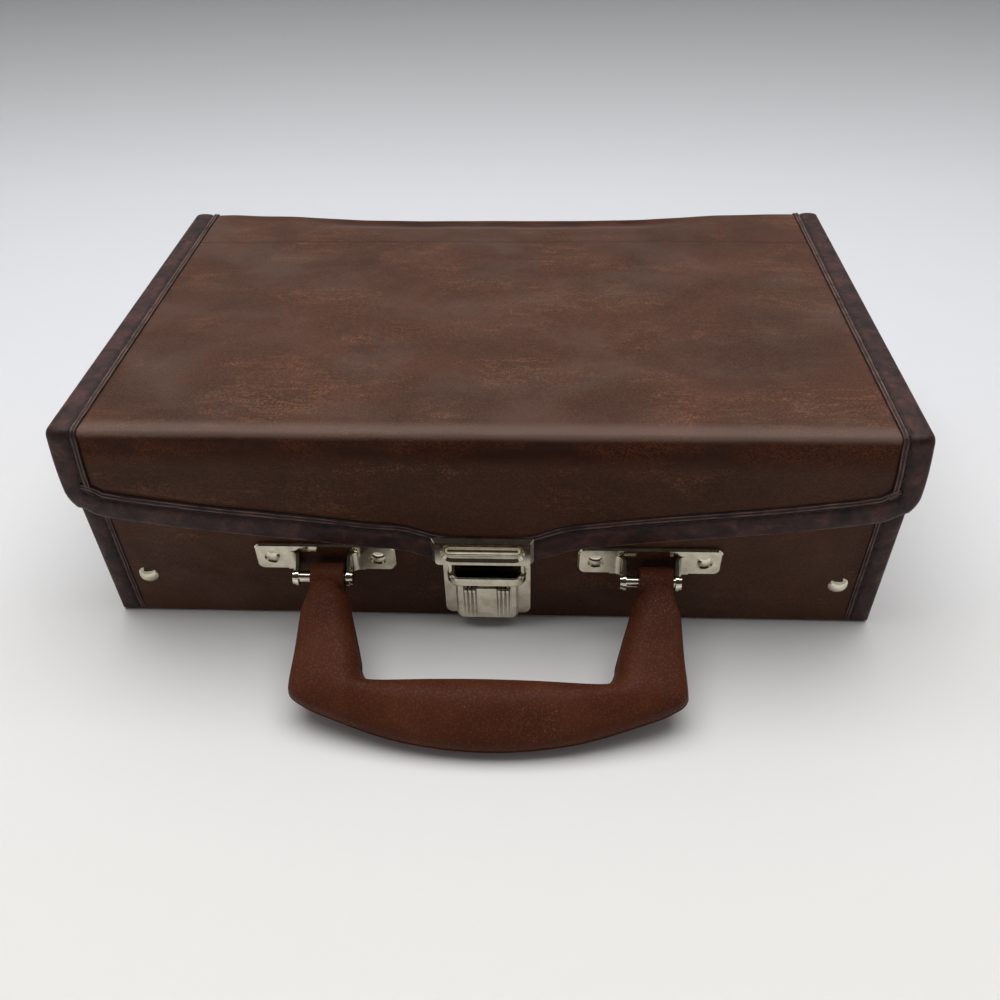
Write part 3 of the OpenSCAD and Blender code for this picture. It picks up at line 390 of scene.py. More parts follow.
def threadMaterial():
    # spun polyester thread: dark brown, its twist drawn as fine dark and light flecks
    made, tree, shader, where = newMaterial("polyester thread", Roughness=0.7)
    twist = put(tree, "TexNoise", where, size=yarn["twist"], Detail=2)
    colour = put(tree, "ValToRGB", twist, stops=[(0.3, yarn["deep"]), (0.7, yarn["pale"])])
    feed(tree, shader, colour, None, [(twist, 0.4, 0.08)])
    return made


looks = {
    "lidSkin": leatheretteMaterial("PVC leatherette, folded at the crease", leather["lidBloom"], creased=True),
    "bodySkin": leatheretteMaterial("PVC leatherette, embossed", leather["bodyBloom"]),
    "binding": bindingMaterial(),
    "nickel": nickelMaterial("nickel-plated pressed steel", nickel["aged"]),
    "handledNickel": nickelMaterial("nickel-plated steel, dulled by hands", nickel["handled"]),
    # the thumb piece, with painted shade between its ribs
    "ribbedNickel": nickelMaterial("nickel-plated steel, with_painted_shade between its ribs", nickel["handled"], ribbed=True),
    "shadeDarkSteel": shadeDarkSteelMaterial(),
    "handle": handlePlasticMaterial(),
    "fibreboard": boardMaterial("pressed fibreboard", *board["fibreboard"]),
    "greyboard": boardMaterial("die-cut greyboard", *board["greyboard"]),
    "lining": liningMaterial(),
    "thread": threadMaterial(),
}


def give(piece, look):
    # one finish over the whole piece
    piece.data.materials.clear()
    piece.data.materials.append(looks[look])


# every solid starts with the finish of its material slot
slotLooks = {"leatherette": "bodySkin", "binding": "binding", "fibreboard": "fibreboard", "rack_card": "greyboard",
             "lining": "lining", "nickel": "nickel", "handle_plastic": "handle"}
for part in frame["record"]["subparts"]:
    give(nodes[part["node"]], slotLooks[part["material_slot"]])
give(nodes["lock_housing"], "handledNickel")
give(nodes["thumb_piece"], "ribbedNickel")
# the lock's inner parts, painted nearly black for the shade they sit in
for name in ("lock_slide", "lock_backing_plate", "hasp_tongue", "lock_spring"):
    give(nodes[name], "shadeDarkSteel")
print("materials", len(looks))


def smooth(t):
    # 0 below 0, 1 above 1, and eased between them by t * t * (3 - 2 * t)
    t = np.clip(t, 0, 1)
    return t * t * (3 - 2 * t)


def ripples(a, b, size, seed, count=9):
    # gentle unevenness from about -1 to 1: a sum of sine waves with lengths round size, each one's direction seeded
    rng = np.random.default_rng(seed)
    turn, phase = rng.uniform(0, math.tau, (2, count)).tolist()
    wave = (size * rng.uniform(0.6, 1.8, count)).tolist()
    a, b = np.broadcast_arrays(a, b)
    waves = [np.sin((a * math.cos(t) + b * math.sin(t)) * math.tau / w + p) for t, p, w in zip(turn, phase, wave)]
    return sum(waves) / (0.55 * count)


def unit(v):
    # each vector divided by its own length
    return v / np.maximum(np.linalg.norm(v, axis=-1, keepdims=True), 1e-9)


def spline(knots, perSpan):
    # Catmull-Rom curve through the rows of knots, perSpan points to a span
    k = np.asarray(knots, float)
    k = np.vstack([2 * k[0] - k[1], k, 2 * k[-1] - k[-2]])
    t = (np.arange(perSpan) / perSpan)[None, :, None]
    a, b, c, d = (k[i:len(k) - 3 + i][:, None, :] for i in range(4))
    out = 0.5 * (2 * b + (c - a) * t + (2 * a - 5 * b + 4 * c - d) * t ** 2 + (3 * b - a - 3 * c + d) * t ** 3)
    return np.vstack([out.reshape(-1, k.shape[1]), k[-2]])


def evenly(path, step):
    # the same line with its points a steady step apart
    path = np.asarray(path, float)
    along = np.concatenate([[0], np.cumsum(np.linalg.norm(np.diff(path, axis=0), axis=1))])
    places = np.linspace(0, along[-1], max(2, int(round(along[-1] / step)) + 1))
    return np.stack([np.interp(places, along, path[:, i]) for i in range(path.shape[1])], -1)


def build(name, points, faces, smooth=True):
    # a piece at the origin, from an array of points in mm and a list of faces
    mesh = bpy.data.meshes.new(name)
    mesh.from_pydata((points.reshape(-1, 3) * mm).tolist(), [], faces)
    mesh.polygons.foreach_set("use_smooth", np.full(len(faces), smooth))
    piece = bpy.data.objects.new(name, mesh)
    bpy.context.scene.collection.objects.link(piece)
    return piece


def surface(name, points, body=None, loop=False, flip=False, closed=False, ends=False):
    # a mesh from a rows x columns array of points in mm; loop joins the last column to the first, closed the last row
    # to the first, ends caps the two ends of a looped one, and flip turns its faces over
    rows, columns = points.shape[:2]
    i = np.arange(rows if closed else rows - 1)[:, None]
    j = np.arange(columns if loop else columns - 1)[None, :]
    nextI, nextJ = (i + 1) % rows, (j + 1) % columns
    corners = i * columns + j, i * columns + nextJ, nextI * columns + nextJ, nextI * columns + j
    faces = np.stack(np.broadcast_arrays(*corners), -1).reshape(-1, 4).tolist()
    if ends:
        faces += [list(range(columns))[::-1], list(range((rows - 1) * columns, rows * columns))]
    if flip:
        faces = [face[::-1] for face in faces]
    piece = build(name, points, faces)
    if body:
        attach(piece, body)
    return piece


def thicken(piece, thickness):
    # gives a skin its thickness on its inner side
    wall = piece.modifiers.new("thickness", "SOLIDIFY")
    wall.thickness = thickness * mm
    wall.offset = -1
    return piece


# mm, degrees, and the lens in mm on a 36 mm sensor
camera = {
    "place": (20.19, -338.34, 274.56), "down": 40.57, "yaw": -3.34, "roll": -1.5, "lens": 32.80, "sensor": 36,
}


def addCamera():
    # looks forward and down by the pitch, turned by the yaw, then rolled about its own axis
    down, yaw, roll = (math.radians(camera[key]) for key in ("down", "yaw", "roll"))
    ahead, right = Vector((math.sin(yaw), math.cos(yaw), 0)), Vector((math.cos(yaw), -math.sin(yaw), 0))
    up = Vector((0, 0, 1))
    forward = ahead * math.cos(down) - up * math.sin(down)
    above = ahead * math.sin(down) + up * math.cos(down)
    side = right * math.cos(roll) + above * math.sin(roll)
    above = -right * math.sin(roll) + above * math.cos(roll)
    data = bpy.data.cameras.new("photo camera")
    data.sensor_width, data.lens = camera["sensor"], camera["lens"]
    data.clip_start, data.clip_end = 0.01, 20
    eye = bpy.data.objects.new("photo camera", data)
    turned = Matrix((side, above, -forward)).transposed().to_4x4()
    eye.matrix_world = Matrix.Translation(Vector(camera["place"]) * mm) @ turned
    bpy.context.scene.collection.objects.link(eye)
    bpy.context.scene.camera = eye


studio = {
    "floorHalf": 1600, "floorFront": -1500, "coveStart": 330, "coveRadius": 150, "wallTop": 1500,   # mm
    "coveSteps": 25,
    # painted light: the floor paler in front and greyer towards the wall, the wall grey low and near white higher up
    "front": "#ece9e3", "middle": "#d3d4d8", "foot": "#c8cacc",   # the floor, from the camera to the wall
    "wall": "#939495", "wallHigh": "#f6f6f6", "tooth": 1.5,   # the paper's grain, in mm
    "floorShade": (-0.35, 0.45), "wallShade": (0.0, 0.12), "highShade": (0.12, 0.4),   # m over which they change
    # the softbox, in W and mm, and the dark card
    "overhead": 15.2, "overheadPlace": (-20, 215, 1050), "overheadSize": (1400, 900), "overheadAim": (0, 0, 50),
    "cardLow": (-1000, 420), "cardHigh": (-380, 1300), "cardHalf": 1000, "card": "#2a2826",
    "world": "#f4f5f7", "worldStrength": 0.55,
}


def addStudio():
    # a pale sweep: a flat floor that curves up into a wall behind, under one softbox, with painted light on the paper:
    # paler on the floor in front, grey low on the wall and near white higher up; a dark card leans behind the camera,
    # where a photographer would stand, and gives the metal and the crease something to reflect
    turn = np.linspace(0, math.pi / 2, studio["coveSteps"])
    radius = studio["coveRadius"]
    cove = np.stack([studio["coveStart"] + radius * np.sin(turn), radius * (1 - np.cos(turn))], -1)
    profile = np.vstack([[studio["floorFront"], 0], [0, 0], cove, [cove[-1, 0], studio["wallTop"]]])
    points = np.zeros((len(profile), 3, 3))
    points[..., 0] = np.linspace(-studio["floorHalf"], studio["floorHalf"], 3)
    points[..., 1:] = profile[:, None, :]
    sweep = surface("backdrop", points)
    made, tree, shader, where = newMaterial("matt backdrop paper", Roughness=0.9)
    put(tree, "SeparateXYZ", where)
    place = tree.nodes[-1].outputs
    # painted light: the paper's colour changes with depth and height as the light falls off
    depth = put(tree, "MapRange", place["Y"], *studio["floorShade"], 0.0, 1.0)
    stops = [(0.0, studio["front"]), (0.6, studio["middle"]), (1.0, studio["foot"])]
    colour = put(tree, "ValToRGB", depth, stops=stops)
    for span, paper in (("wallShade", "wall"), ("highShade", "wallHigh")):
        height = put(tree, "MapRange", place["Z"], *studio[span], 0.0, 1.0)
        colour = put(tree, "Mix", height, colour, studio[paper], data_type="RGBA")
    feed(tree, shader, colour, None, [(put(tree, "TexNoise", where, size=studio["tooth"], Detail=3), 0.03, 0.1)])
    sweep.data.materials.append(made)
    half = studio["cardHalf"]
    corners = [[(-side * half, *studio[end]) for side in (-1, 1)] for end in ("cardLow", "cardHigh")]
    card = surface("dark card", np.array(corners, float))
    made, tree, shader, where = newMaterial("black foam card", Roughness=0.95)
    shader.inputs["Base Color"].default_value = linear(studio["card"])
    card.data.materials.append(made)
    light = bpy.data.lights.new("overhead", "AREA")
    light.shape, light.energy = "RECTANGLE", studio["overhead"]
    light.size, light.size_y = (side * mm for side in studio["overheadSize"])
    lamp = bpy.data.objects.new("overhead", light)
    lamp.location = Vector(studio["overheadPlace"]) * mm
    aim = Vector(studio["overheadAim"]) * mm - lamp.location
    lamp.rotation_euler = aim.to_track_quat("-Z", "Y").to_euler()
    bpy.context.scene.collection.objects.link(lamp)
    world = bpy.data.worlds.new("studio")
    bpy.context.scene.world = world
    world.use_nodes = True
    sky = world.node_tree.nodes["Background"].inputs
    sky["Color"].default_value = linear(studio["world"])
    sky["Strength"].default_value = studio["worldStrength"]
    bpy.context.scene.view_settings.view_transform = "Standard"


addCamera()
addStudio()
print("camera and studio")

flapEdge = {
    "low": 33.5, "rise": 20.0,   # mm: height of the lower edge in the middle, and its rise to the sides
    "knots": [(0, 0), (19, 0.07), (32.5, 0.32), (42, 0.4), (65, 0.565), (100, 0.77), (128, 0.98)],   # x, share of it
    "cornerX": 137.0, "cornerLift": 15.0, "cornerRadius": 13.0, "cornerStart": -82,   # mm and degrees
    "flare": 1.8, "flareWidth": 3.0,   # both sides bow outwards
    "leftDrop": 1.9, "dropStart": 18, "dropOver": 30, "dropHeight": 25,   # the left half hangs lower
    "perSpan": 14, "cornerSteps": 29,
}


def flapOutline():
    # the flap's lower edge from one side to the other as (x, z), its directions inwards, and how wide the binding is
    # there: a spline through the knots, an arc at each corner, and straight sides up to the crease; at the corners the
    # binding is mitred, so its inner edge is a square corner while its outer edge is round
    turn = np.radians(np.linspace(flapEdge["cornerStart"], 0, flapEdge["cornerSteps"]))
    radius, steps = flapEdge["cornerRadius"], flapEdge["perSpan"]
    knots = [(x, flapEdge["low"] + flapEdge["rise"] * share) for x, share in flapEdge["knots"]]
    centre = np.array([flapEdge["cornerX"], knots[-1][1] + flapEdge["cornerLift"]])
    corner = centre + radius * np.stack([np.cos(turn), np.sin(turn)], -1)
    line = spline([(-x, z) for x, z in knots[1:]][::-1] + knots + [tuple(corner[0])], steps)
    side = np.stack([np.full(steps, halfWidth), np.linspace(corner[-1, 1], creaseZ, steps + 1)[1:]], -1)
    # from the arc's centre to the mitred inner corner, along each of the arc's directions
    sideIn, lowIn = radius - caseSize["bindingWidth"], radius - caseSize["flapBinding"]
    reach = np.minimum(sideIn / np.maximum(np.cos(turn), 0.02), lowIn / np.maximum(-np.sin(turn), 0.02))
    mitre = (radius - reach) / caseSize["bindingWidth"]
    wide = caseSize["flapBinding"] / caseSize["bindingWidth"]
    half = line[line[:, 0] > 0]
    width = np.concatenate([np.full(len(half), wide), mitre[1:], np.ones(len(side))])
    half = np.vstack([half, corner[1:], side])
    full = np.vstack([half[::-1] * [-1, 1], [[0, knots[0][1]]], half])
    bow = np.clip((creaseZ - full[:, 1]) / (creaseZ - centre[1]), 0, 1)
    bow = bow * (np.abs(full[:, 0]) > halfWidth - flapEdge["flareWidth"])
    full[:, 0] += np.sign(full[:, 0]) * flapEdge["flare"] * np.sin(bow * math.pi / 2)
    leftwards = smooth((-full[:, 0] - flapEdge["dropStart"]) / flapEdge["dropOver"])
    full[:, 1] -= flapEdge["leftDrop"] * leftwards * smooth((creaseZ - full[:, 1]) / flapEdge["dropHeight"])
    along = unit(np.gradient(full, axis=0))
    return full, np.stack([-along[:, 1], along[:, 0]], -1), np.concatenate([width[::-1], [wide], width])


flapLine, flapInward, flapBand = flapOutline()

skin = {
    "halfWidth": 142.2, "thickness": 0.5,   # mm, as all of these are down to the seeds
    "tuck": 5.0, "tuckDepth": 0.45, "tuckGap": 0.5, "tuckOver": 1.2,   # how it goes down under the tape
    "dents": 0.2, "dentSize": 46, "calmGap": 0.6, "calmOver": 14,      # dents, and where they die out at the tape
    "pillow": 0.5, "pillowStart": 10, "pillowOver": 60, "pillowLead": 2, "pillowRise": 30,   # the lid's low crown
    "sag": 4.3, "sagStart": 66, "sagEnd": 86, "sagFlat": 28, "sagHalf": 134,   # the unsupported strip at the back
    "crimp": 0.35, "crimpSize": 34, "crimpOver": 14,   # small waves in it
    "joinStart": 14, "joinOver": 12,                   # how far behind the split the front skin's dents go on
    "bodyTuck": 0.3, "bodyTuckEnd": 8.7, "bodyCalm": 9, "bodyCalmOver": 12, "bodyCalmTop": 6, "bodyTuckOver": 4,
    "lidSeed": 5, "bodySeed": 11, "crimpSeed": 31,
    "columns": 190, "lidRows": 84, "foldRows": 16, "flapRows": 40, "hingeRows": 26, "turnRows": 12, "wallRows": 34,
}


def skinColumns():
    # evenly spaced from one bound edge to the other
    return np.linspace(-skin["halfWidth"], skin["halfWidth"], skin["columns"])


def dents(a, b, seed):
    # shallow unevenness of a covering glued to board: broad hollows with smaller ones on them
    size = skin["dentSize"]
    return skin["dents"] * (ripples(a, b, size, seed) + 0.5 * ripples(a, b, size / 2.7, seed + 1))


def edgeHold(inset):
    # what a bound edge does to the sheet, inset mm in from the rim: 0 beside the tape to 1 where the sheet lies free,
    # the pillow's height, and the depth to which the sheet is tucked under the tape
    calm = smooth((inset - caseSize["bindingWidth"] + skin["calmGap"]) / skin["calmOver"])
    pillow = skin["pillow"] * smooth((inset - skin["pillowStart"]) / skin["pillowOver"])
    tuck = skin["tuckDepth"] * smooth((caseSize["bindingWidth"] + skin["tuckGap"] - inset) / skin["tuckOver"])
    return calm, pillow, tuck


def backSag(x, y):
    # the unsupported strip behind the lid's board hangs down between the two bound edges
    across = 1 - smooth((np.abs(x) - skin["sagFlat"]) / (skin["sagHalf"] - skin["sagFlat"]))
    return -skin["sag"] * across * smooth((y - skin["sagStart"]) / (skin["sagEnd"] - skin["sagStart"]))


def frontSkin():
    # columns across, rows from the lid's middle over the crease and down the flap; each point is pushed out of the
    # sheet by a low pillow and by shallow dents that die out at the bound edges, and tucked under the binding there
    x = skinColumns()
    inner = (flapLine + flapInward * skin["tuck"])[len(flapLine) // 2:]
    inner = inner[np.concatenate([[True], np.diff(inner[:, 0]) > 1e-6])]
    bottom = np.interp(np.abs(x), inner[:, 0], inner[:, 1])
    lidRows = np.linspace(caseSize["splitY"], lidFront, skin["lidRows"])[:-1]
    turn = np.linspace(0, math.pi / 2, skin["foldRows"])
    share = np.linspace(0, 1, skin["flapRows"])[1:, None]
    foldY, foldZ = lidFront - creaseRadius * np.sin(turn), creaseZ + creaseRadius * np.cos(turn)
    lid = np.stack(np.broadcast_arrays(x, lidRows[:, None], caseSize["top"]), -1)
    fold = np.stack(np.broadcast_arrays(x, foldY[:, None], foldZ[:, None]), -1)
    flap = np.stack(np.broadcast_arrays(x, caseSize["flapFace"], creaseZ + (bottom - creaseZ) * share), -1)
    points = np.concatenate([lid, fold, flap])
    upright = np.tile([0.0, 0, 1], (len(lidRows), 1))
    turned = np.stack([0 * turn, -np.sin(turn), np.cos(turn)], -1)
    outward = np.concatenate([upright, turned, np.tile([0.0, -1, 0], (len(share), 1))])[:, None, :]
    # the way down the sheet from the crease, measured round the fold, so that no dent breaks at it
    quarter = 1.57 * creaseRadius   # the length of the fold, a quarter turn
    roundFold = -creaseRadius * np.tile(turn[:, None], (1, len(x)))
    down = np.concatenate([lid[..., 1] - lidFront, roundFold, flap[..., 2] - creaseZ - quarter])
    inset = np.broadcast_to(halfWidth - np.abs(x), down.shape).copy()
    low = (flap[..., 2] - bottom + skin["tuck"]) * caseSize["bindingWidth"] / caseSize["flapBinding"]
    inset[-len(share):] = np.minimum(inset[-len(share):], low)
    calm, pillow, tuck = edgeHold(inset)
    pillow = pillow * smooth((down + skin["pillowLead"]) / skin["pillowRise"])
    push = (dents(x, down, skin["lidSeed"]) + pillow) * calm - tuck
    piece = thicken(surface("front_skin", points + outward * push[..., None], flip=True), skin["thickness"])
    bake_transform(piece)
    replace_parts(piece, "lid_cover", "crease_cover", "flap_cover")
    give(piece, "lidSkin")


def hingeSkin():
    # the back of the lid, rows from its middle to the back edge and over the hinge's quarter turn: level with the front
    # skin where they meet, then sagging and crimped towards the fold
    x = skinColumns()
    lidBack, splitY = caseSize["lidBack"], caseSize["splitY"]
    rows = np.linspace(splitY, lidBack, skin["hingeRows"])
    turn = np.linspace(0, math.pi / 2, skin["turnRows"])[1:]
    y = np.concatenate([rows, lidBack + hingeRadius * np.sin(turn)])[:, None]
    level = np.concatenate([np.ones(len(rows)), np.cos(turn)])[:, None]
    calm, pillow, tuck = edgeHold(halfWidth - np.abs(x))
    join = 1 - smooth((y - splitY - skin["joinStart"]) / skin["joinOver"])
    push = (dents(x, y - lidFront, skin["lidSeed"]) + pillow) * calm * join
    crimp = skin["crimp"] * ripples(x, 0 * y, skin["crimpSize"], skin["crimpSeed"]) * calm
    crimp = crimp * smooth((y - skin["sagStart"]) / skin["crimpOver"])
    z = hingeZ + (hingeRadius + backSag(x, y) + push + crimp - tuck) * level
    piece = thicken(surface("hinge_skin", np.stack(np.broadcast_arrays(x, y, z), -1)), skin["thickness"])
    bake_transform(piece)
    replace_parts(piece, "hinge_cover")
    give(piece, "lidSkin")


lining = {
    "halfWidth": 148.3, "seam": 141.2, "field": 140.4, "step": 1.2,   # mm: it steps up by this from field to seam
    "thickness": 0.4, "short": 0.3, "columns": 120, "rows": 70,
}


def lidLining():
    # the sheet under the lid: flat under the board, stepped up at the seams, hanging with the covering behind
    low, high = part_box("lid_lining")
    half, seam, field = lining["halfWidth"], lining["seam"], lining["field"]
    x = np.concatenate([[-half, -seam], np.linspace(-field, field, lining["columns"]), [seam, half]])
    y = np.linspace(low.y / mm, high.y / mm - lining["short"], lining["rows"])[:, None]
    step = smooth((np.abs(x) - field) / (seam - field)) * lining["step"]
    points = np.stack(np.broadcast_arrays(x, y, low.z / mm + step + backSag(x, y)), -1)
    piece = thicken(surface("lid_lining_sheet", points, "lid", flip=True), lining["thickness"])
    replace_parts(piece, "lid_lining")
    give(piece, "lining")


def outwardsOf(line):
    # directions outwards from a line of (y, z) that runs down the front, along the base and up the back
    along = unit(np.gradient(line, axis=0))
    return np.stack([0 * along[:, 0], along[:, 1], -along[:, 0]], -1)


def baseCorners():
    # the quarter turns at the front and the back of the base, as (y, z)
    turn = np.linspace(0, math.pi / 2, caseSize["cornerSteps"])
    front, back, radius = caseSize["front"], caseSize["back"], caseSize["baseRadius"]
    low = np.stack([front + radius * (1 - np.cos(turn)), radius * (1 - np.sin(turn))], -1)
    return low, (low * [-1, 1] + [front + back, 0])[::-1]


def bodySkin():
    # the sheet of the front wall, base and back wall, rows down the front, round both lower edges and up the back
    x = skinColumns()
    front, back, radius, top = (caseSize[key] for key in ("front", "back", "baseRadius", "bodyTop"))
    rows = skin["wallRows"]
    wall = np.linspace(0, 1, rows)
    frontWall = np.stack([np.full(rows, front), top + (radius - top) * wall], -1)[:-1]
    backWall = np.stack([np.full(rows, back), radius + (hingeZ - radius) * wall], -1)[1:]
    line = np.vstack([frontWall, *baseCorners(), backWall])
    height, inset = line[:, 1][:, None], halfWidth - np.abs(x)
    calm = smooth((inset - skin["bodyCalm"]) / skin["bodyCalmOver"]) * smooth((height - radius) / skin["bodyCalmOver"])
    calm = calm * smooth((hingeZ - height) / skin["bodyCalmTop"])
    tuck = skin["bodyTuck"] * smooth((skin["bodyTuckEnd"] - inset) / skin["tuckOver"])
    tuck = tuck * smooth(height / skin["bodyTuckOver"])
    push = dents(x, height, skin["bodySeed"]) * calm - tuck
    points = np.concatenate([np.tile(x[:, None], (len(line), 1, 1)), np.tile(line[:, None, :], (1, len(x), 1))], -1)
    points = points + outwardsOf(line)[:, None, :] * push[..., None]
    piece = thicken(surface("body_skin", points, "case_body", flip=True), skin["thickness"])
    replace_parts(piece, "body_cover")
    give(piece, "bodySkin")


frontSkin()
hingeSkin()
lidLining()
bodySkin()
print("skins")

binding = {
    # half of the folded tape's section, from its inner edge to the rim: mm in from the rim, mm above the covering; two
    # narrow welts, the stitched groove, then the flat of the tape
    "section": [(10.8, -0.45), (10.75, 0.1), (10.5, 0.5), (10.15, 0.52), (9.85, 0.2), (9.55, 0.42), (9.05, 0.66),
                (8.55, 0.42), (8.15, -0.1), (7.7, -0.2), (7.3, 0.05), (6.8, 0.4), (5.4, 0.62), (3.4, 0.66), (1.7, 0.52),
                (0.7, 0.3), (0.2, -0.02), (0.0, -0.5)],
    "insideRelief": -0.25,   # the other half lies inside the case, with a quarter of the relief
    "crinkle": 0.13, "crinkleSize": 8, "crinkleFrom": 0.1,   # mm: depth, length, and how high above the covering
    "crinkleWidth": 2.2,   # crinkles run across the tape: this many times shorter that way
    "step": 1.3, "frontStart": 0.3, "hingeStart": -0.2,   # mm: along the rim, and the two tapes' ends from the split
    "lidSteps": 90, "foldSteps": 12, "hingeSteps": 26, "turnSteps": 10,   # points along each stretch
    "bodyShort": 0.2, "flatStart": 1, "flatOver": 8, "pressed": 0.35, "pressedFrom": 58,   # on the body
    "stitchInset": tape["groove"][0], "stitchLift": -0.05, "stitchLow": 5, "stitchHigh": 83,   # mm
    "stitchPitch": 4.0, "stitchLength": 2.8, "stitchRadius": 0.26, "stitchRings": 5, "stitchSides": 6,
}


def bindingBand(name, rim, thickness, lift=None, flip=False):
    # carries the folded tape's section along the rim of a panel: the rim's widths squeeze it, lift scales how far it
    # stands up, thickness is the seam's, and the name's length seeds its crinkles
    path, inward, outward, width = rim
    section = np.array(binding["section"])
    under = section[::-1] * [1, binding["insideRelief"]] + [0, -thickness]
    inset, height = np.concatenate([section, under]).T
    along = np.concatenate([[0], np.cumsum(np.linalg.norm(np.diff(path, axis=0), axis=1))])[:, None]
    crinkle = ripples(along, inset * binding["crinkleWidth"], binding["crinkleSize"], len(name))
    crinkle = binding["crinkle"] * crinkle * (height > binding["crinkleFrom"])
    lift = np.ones(len(path)) if lift is None else lift
    rise = np.where(height > 0, (height + crinkle) * lift[:, None], height)
    insets = inset * width[:, None]
    points = path[:, None, :] + inward[:, None, :] * insets[..., None] + outward[:, None, :] * rise[..., None]
    piece = surface(name, points, loop=True, ends=True, flip=flip)
    kept = piece.data.attributes.new("inset", "FLOAT", "POINT")
    kept.data.foreach_set("value", np.tile(inset, len(path)))
    give(piece, "binding")
    return piece


def stitches(name, rim):
    # a row of short spindles in the tape's groove, one to a stitch, each turned along the rim: rings of a few points
    # whose radius is r * (1 - 0.8 * t ^ 4), t = -1 to 1 along the stitch
    rings, sides = binding["stitchRings"], binding["stitchSides"]
    fine = evenly(np.hstack([*rim[:3], rim[3][:, None]]), binding["stitchPitch"])
    place = fine[:, :3] + fine[:, 3:6] * binding["stitchInset"] * fine[:, 9:] + fine[:, 6:9] * binding["stitchLift"]
    along, up = unit(np.gradient(place, axis=0)), unit(fine[:, 6:9])
    axes = np.stack([along, np.cross(up, along), up], 1)
    ring, turn = np.meshgrid(np.linspace(-1, 1, rings), np.linspace(0, math.tau, sides + 1)[:-1], indexing="ij")
    radius = binding["stitchRadius"] * (1 - 0.8 * ring ** 4)
    local = np.stack([ring * binding["stitchLength"] / 2, radius * np.cos(turn), radius * np.sin(turn)], -1)
    points = place[:, None, None, :] + np.einsum("rcj,sjk->srck", local, axes)
    # one mesh from all the spindles: a wall of quads round each, and a cap at both ends
    first = np.arange(len(place))[:, None, None] * rings * sides
    i, j = np.arange(rings - 1)[:, None, None] * sides, np.arange(sides)[None, :, None]
    k = (j + 1) % sides
    walls = np.concatenate([i + j, i + k, i + sides + k, i + sides + j], -1)
    walls = (first[..., None] + walls).reshape(-1, 4)
    caps = np.stack([np.arange(sides)[::-1], np.arange(sides) + (rings - 1) * sides])
    caps = (first + caps).reshape(-1, sides)
    piece = build(name, points, walls.tolist() + caps.tolist(), smooth=False)
    give(piece, "thread")
    return piece


def lidEdge(side, start, end, radius, steps, turnSteps):
    # the lid's edge on one side: level from start to end, then a quarter turn downwards, forwards or backwards, with
    # its directions outwards
    level = np.linspace(start, end, steps)[:-1]
    turn = np.linspace(0, math.pi / 2, turnSteps)
    ahead = 1 if end > start else -1
    y = np.concatenate([level, end + ahead * radius * np.sin(turn)])
    z = np.concatenate([0 * level + caseSize["top"], caseSize["top"] - radius + radius * np.cos(turn)])
    turned = np.stack([0 * turn, ahead * np.sin(turn), np.cos(turn)], -1)
    outward = np.concatenate([np.tile([0.0, 0, 1], (len(level), 1)), turned])
    return np.stack([np.full(len(y), side * halfWidth), y, z], -1), outward


# panels' rims: points along them, directions inwards and outwards, and the tape's width as a share of its full one
def lidRim():
    # one rim from the left edge of the lid over the crease, along the flap's outline and back up to the right edge
    start = caseSize["splitY"] + binding["frontStart"]
    left, out = lidEdge(-1, start, lidFront, creaseRadius, binding["lidSteps"], binding["foldSteps"])
    left, out = left[:-1], out[:-1]
    flap = np.stack([flapLine[:, 0], np.full(len(flapLine), caseSize["flapFace"]), flapLine[:, 1]], -1)
    flapIn = np.stack([flapInward[:, 0], 0 * flapInward[:, 0], flapInward[:, 1]], -1)
    path = np.vstack([left, flap, left[::-1] * [-1, 1, 1]])
    inward = np.vstack([np.tile([1.0, 0, 0], (len(left), 1)), flapIn, np.tile([-1.0, 0, 0], (len(left), 1))])
    outward = np.vstack([out, np.tile([0.0, -1, 0], (len(flap), 1)), out[::-1]])
    width = np.concatenate([np.ones(len(left)), flapBand, np.ones(len(left))])
    whole = evenly(np.hstack([path, inward, outward, width[:, None]]), binding["step"])
    return whole[:, :3], unit(whole[:, 3:6]), unit(whole[:, 6:9]), whole[:, 9]


def hingeRim(side):
    # the lid's edge behind the split, and the quarter turn down to the back wall
    start = caseSize["splitY"] + binding["hingeStart"]
    path, outward = lidEdge(side, start, caseSize["lidBack"], hingeRadius, binding["hingeSteps"], binding["turnSteps"])
    return path, np.tile([-side, 0.0, 0], (len(path), 1)), outward, np.ones(len(path))


def bodyRim(side):
    # the rim of a side panel: down the front, round the base and up the back
    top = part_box("left_body_binding")[1].z / mm - binding["bodyShort"]
    line = np.vstack([[caseSize["front"], top], *baseCorners(), [caseSize["back"], hingeZ]])
    line = evenly(line, binding["step"])
    path = np.stack([np.full(len(line), side * halfWidth), line[:, 0], line[:, 1]], -1)
    width = np.full(len(line), caseSize["bodyBinding"] / caseSize["bindingWidth"])
    return path, np.tile([-side, 0.0, 0], (len(line), 1)), outwardsOf(line), width


